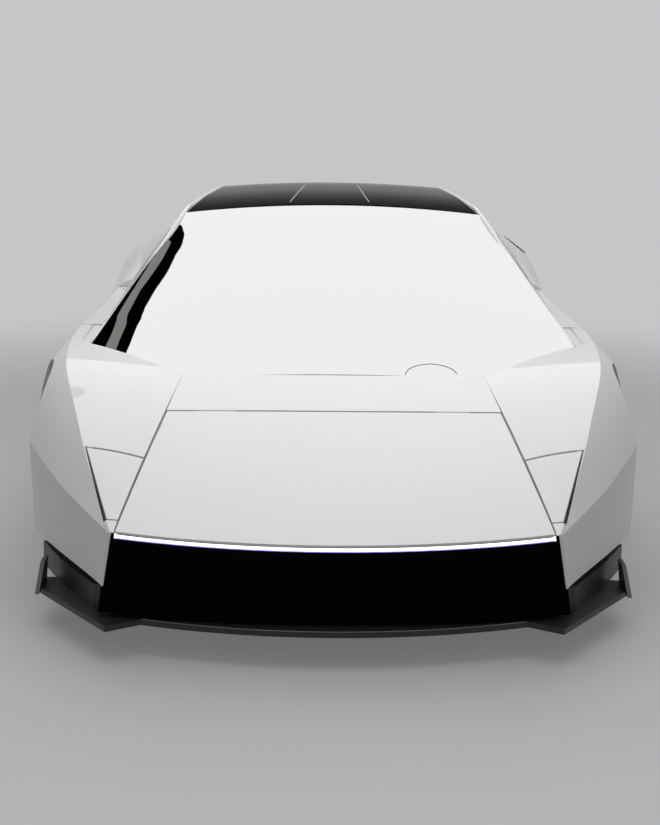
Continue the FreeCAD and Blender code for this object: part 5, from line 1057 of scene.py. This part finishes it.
# Light seams on the roof, and the seam of the round cover at the screen's foot, as the picture has them
ROOF_SEAMS = (
    ((290, 202), (296, 195), (301, 189), (305, 185)), ((369, 202), (364, 195), (360, 189), (357, 185)),
)
COVER_ARC = ((405, 375), (408, 370), (416, 366), (430, 364), (444, 366), (453, 370), (457, 374))


roof_tree = tree_of("roof_panel")
seam = Form()
for places in ROOF_SEAMS:
    line = smooth_line([p for p, _ in seen_on(roof_tree, places)], 40)
    ribbon(seam, [touch(roof_tree, (p.x, p.y, 2.0), DOWN) for p in line], 0.004, 0.0006)
seam.make("roof_seams", "front_light", "seam_grey")

hits = seen_on(tree_of("windscreen"), COVER_ARC)
normal = hits[len(hits) // 2][1]
seam = ribbon(Form(), [(p, normal) for p in smooth_line([p for p, _ in hits], 40)], 0.003, 0.0006)
seam.make("screen_cover_seam", "trim")

# Engine bay: dark liners on the side walls, and two braces that cross under the lid
LINER_Y = (0.480, 2.140)
LINER_FOOT_Z = 0.52
WALL_X = 0.10
BRACE_FRONT = (0.640, 0.960)
BRACE_REAR = (1.480, 0.830)
BRACE_RISE = 0.018
liners, brace = Form(), Form()
for side, word in SIDES:
    wall_tree = tree_of(f"rear_quarter_{word}")
    outward = LEFT * side

    def wall_touch(y, z):
        return touch(wall_tree, (side * WALL_X, y, z), outward)

    rows = []
    for i in range(31):
        y = LINER_Y[0] + (LINER_Y[1] - LINER_Y[0]) * i / 30
        wall_x = wall_touch(y, 0.55)[0].x
        rise = touch(wall_tree, (wall_x + side * 0.004, y, 1.40), DOWN)[0].z - 0.014 - LINER_FOOT_Z
        hits = [wall_touch(y, LINER_FOOT_Z + rise * k / 8) for k in range(9)]
        row = [p + n * 0.0012 for p, n in hits]
        rows.append(row + [p - outward * 0.002 for p in reversed(row)])
    liners.rings(rows)
    foot, far = wall_touch(*BRACE_FRONT)[0], wall_touch(*BRACE_REAR)[0]
    far.x = -far.x
    rises = [UP * (BRACE_RISE * math.sin(math.pi * k / 24)) for k in range(25)]
    brace.tube([foot + (far - foot) * k / 24 + rise for k, rise in enumerate(rises)], 0.015, 18)
brace.make("bay_brace", "suspension_steel", "wheel_alloy")
liners.make("bay_liners", "trim", "structure", angle=30.0)

# A lighter grey strip along the splitter's upper edge: a painted highlight where the edge catches the
# overhead light
SPLITTER_HALF = 0.524
splitter_tree = tree_of("front_splitter")
line = []
for i in range(49):
    x = SPLITTER_HALF * (i / 24 - 1)
    point = touch(splitter_tree, (x, -3.0, 0.098), BACK)[0]
    top = touch(splitter_tree, (x, point.y + 0.003, 1.0), DOWN)[0].z
    line.append(Vector((x, point.y + 0.0018, top - 0.0004)))
Form().tube(line, 0.0016, 8).make("splitter_painted_highlight", "satin_black", "splitter_highlight_grey")

# A black shroud over the rear of the light bar's top, and a violet line along the foot of its face
SHROUD_HALF = 0.588
SHROUD_Y = (0.0085, 0.0165)
SHROUD_TOP = 0.0009
SHROUD_SUNK = 0.0003
BAR_SEARCH_Z = 0.300
BAR_SEARCH_STEP = 0.0005
light_tree = tree_of("front_light_bar")
rows, line = [], []
for i in range(61):
    x = SHROUD_HALF * (i / 30 - 1)
    face, height = None, BAR_SEARCH_Z
    while face is None:
        height += BAR_SEARCH_STEP
        face = light_tree.ray_cast(Vector((x, -3.0, height)), BACK)[0]
    front, rear = [light_tree.ray_cast(Vector((x, face.y + back, 1.0)), DOWN)[0] for back in SHROUD_Y]
    rows.append([
        front + UP * SHROUD_TOP, front - UP * SHROUD_SUNK, rear - UP * SHROUD_SUNK, rear + UP * SHROUD_TOP,
    ])
    line.append(face + Vector((0, -0.0004, 0.0008)))
Form().rings(rows).make("light_shroud", "gloss_black", angle=40.0)
Form().tube(line, 0.0013, 8).make("light_edge", "front_light", "light_rim")

# White beads that run up the screen pillars and along the roof, and the fairings at the pillars' feet
PILLAR_LINE = (
    (0.781, -1.135, 0.698), (0.702, -0.899, 0.803), (0.614, -0.651, 0.9365), (0.532, -0.400, 1.0654),
    (0.503, -0.253, 1.0925), (0.470, 0.000, 1.1072), (0.444, 0.276, 1.1118), (0.440, 0.600, 1.0975),
)
BEAD_OUT = 0.009
BEAD_DROP = 0.002
BEAD_RADIUS = 0.0075
FAIRING_Y = (-1.146, -0.776)
FAIRING_INNER = (0.788, 0.798)
FAIRING_OUTER = 0.826
FAIRING_FOOT = 0.655
FAIRING_TOP = (0.6965, 0.705)
FAIRING_NOSE = 0.004
FAIRING_EDGE = 0.004
for side, word in SIDES:
    line = smooth_line([((x + BEAD_OUT) * side, y, z - BEAD_DROP) for x, y, z in PILLAR_LINE], 120)
    bead = Form().tube(line, lambda s: BEAD_RADIUS * (1 - abs(2 * s - 1) ** 40 * 0.8), 16)
    bead.make(f"pillar_bead_{word}", "body_paint", angle=60.0)
    rows = []
    for i in range(13):
        s = i / 12
        y, inner, top = [start + (end - start) * s for start, end in (FAIRING_Y, FAIRING_INNER, FAIRING_TOP)]
        top -= FAIRING_NOSE * (1 - s) ** 2
        rows.append([(side * x, y, z) for x, z in (
            (inner, FAIRING_FOOT), (FAIRING_OUTER, FAIRING_FOOT), (FAIRING_OUTER, top - 0.002),
            (FAIRING_OUTER - FAIRING_EDGE, top), (inner + FAIRING_EDGE, top), (inner, top - 0.003),
        )])
    Form().rings(rows).make(f"pillar_fairing_{word}", "body_paint", angle=40.0)


# Floor, backdrop and light
BACKDROP = (0.56, 0.565, 0.575, 1.0)
FLOOR_HALF = 60.0
FLOOR_FADE = (1.9, 5.0)
FLOOR_GLOW = 0.25
FILL_COLOUR = (0.97, 0.98, 1.0, 1.0)
FILL_LIGHT = 0.12
CARD_GLOW = (1.0, 0.98, 0.95, 1.0)
DARK_CARD = (
    (-1.245, 0.24), (-1.115, 0.62), (-0.985, 0.85), (-0.90, 1.02), (-0.885, 1.08),
    (-0.90, 1.14), (-0.95, 1.17), (-1.16, 1.18), (-1.52, 0.24),
)
GREY_STRIP = (
    (-1.375, 0.24), (-1.30, 0.24), (-1.21, 0.58), (-1.133, 0.73), (-1.04, 0.876), (-0.985, 0.97),
    (-0.965, 1.03), (-1.00, 1.05), (-1.05, 0.985), (-1.097, 0.876), (-1.18, 0.73), (-1.267, 0.58),
)


def seen_only(tree):
    """One for rays from the camera, a gloss or a glass; zero for the light that falls on things."""
    path, first, last = nodes_of(tree, "LightPath", "Math", "Math")
    for adder in (first, last):
        adder.operation = "ADD"
        adder.use_clamp = True
    wire(
        tree, (path, "Is Camera Ray", first, 0), (path, "Is Glossy Ray", first, 1),
        (first, 0, last, 0), (path, "Is Transmission Ray", last, 1),
    )
    return last


def sheet(name, outline, height, shader):
    """A flat sheet that isn't part of the car."""
    mesh = bpy.data.meshes.new(name)
    mesh.from_pydata([(x, y, height) for x, y in outline], [], [list(range(len(outline)))])
    mesh.materials.append(shader.material)
    return placed(name, mesh)


def area_light(name, place, aim, size, energy):
    data = bpy.data.lights.new(name, "AREA")
    data.shape = "RECTANGLE"
    data.size, data.size_y = size
    data.energy = energy
    made = placed(name, data)
    made.location = place
    made.rotation_euler = (Vector(aim) - Vector(place)).to_track_quat("-Z", "Y").to_euler()
    made.visible_camera = False


def card(name, outline, height, colour, strength):
    glow = {"Emission_Strength": strength, "Emission_Color": CARD_GLOW}
    made = sheet(name, outline, height, Shader(name, colour, 0.9, Specular_IOR_Level=0.0, **glow))
    made.visible_camera = False


ground = Shader("pale_floor", (0.52, 0.52, 0.52), 0.55)
ground.shade(ground.noise(0.6), 0.015).rough(ground.noise(4.0), 0.1)
corners = [(x * FLOOR_HALF, y * FLOOR_HALF) for x, y in ((-1, -1), (1, -1), (1, 1), (-1, 1))]
floor = sheet("floor", corners, 0.0, ground)

# Far from the car the floor runs into the backdrop's colour
tree = ground.tree
place, reach, fade = nodes_of(tree, "TexCoord", "VectorMath", "MapRange")
share, far, mix = nodes_of(tree, "Math", "Emission", "MixShader")
reach.operation = "LENGTH"
fade.interpolation_type = "SMOOTHSTEP"
put(fade, From_Min=FLOOR_FADE[0], From_Max=FLOOR_FADE[1], To_Min=FLOOR_GLOW)
share.operation = "MULTIPLY"
put(far, Color=BACKDROP)
wire(
    tree, (place, "Object", reach, 0), (reach, "Value", fade, "Value"), (fade, "Result", share, 0),
    (seen_only(tree), 0, share, 1), (share, 0, mix, "Fac"), (ground.surface, "BSDF", mix, 1),
    (far, "Emission", mix, 2), (mix, "Shader", tree.nodes["Material Output"], "Surface"),
)

world = bpy.data.worlds.new("studio")
scene.world = world
world.use_nodes = True
tree = world.node_tree
tree.nodes.clear()
fill, seen, mix, out = nodes_of(tree, "Background", "Background", "MixShader", "OutputWorld")
put(seen, Color=BACKDROP)
put(fill, Color=FILL_COLOUR, Strength=FILL_LIGHT)
wire(tree, (seen_only(tree), 0, mix, "Fac"), (fill, 0, mix, 1), (seen, 0, mix, 2), (mix, 0, out, "Surface"))

# A dark card and a grey strip beside the overhead lamp, which the windscreen's left edge mirrors
card("dark_card", DARK_CARD, 3.36, (0.002, 0.002, 0.002), 0.0)
card("grey_strip", GREY_STRIP, 3.34, (0.01, 0.01, 0.01), 0.42)
area_light("overhead", (0.0, -0.2, 3.4), (0.0, -0.2, 0.0), (4.6, 7.0), 128.0)
area_light("front_fill", (0.0, -9.0, 4.0), (0.0, -1.0, 0.4), (6.0, 3.0), 16.0)
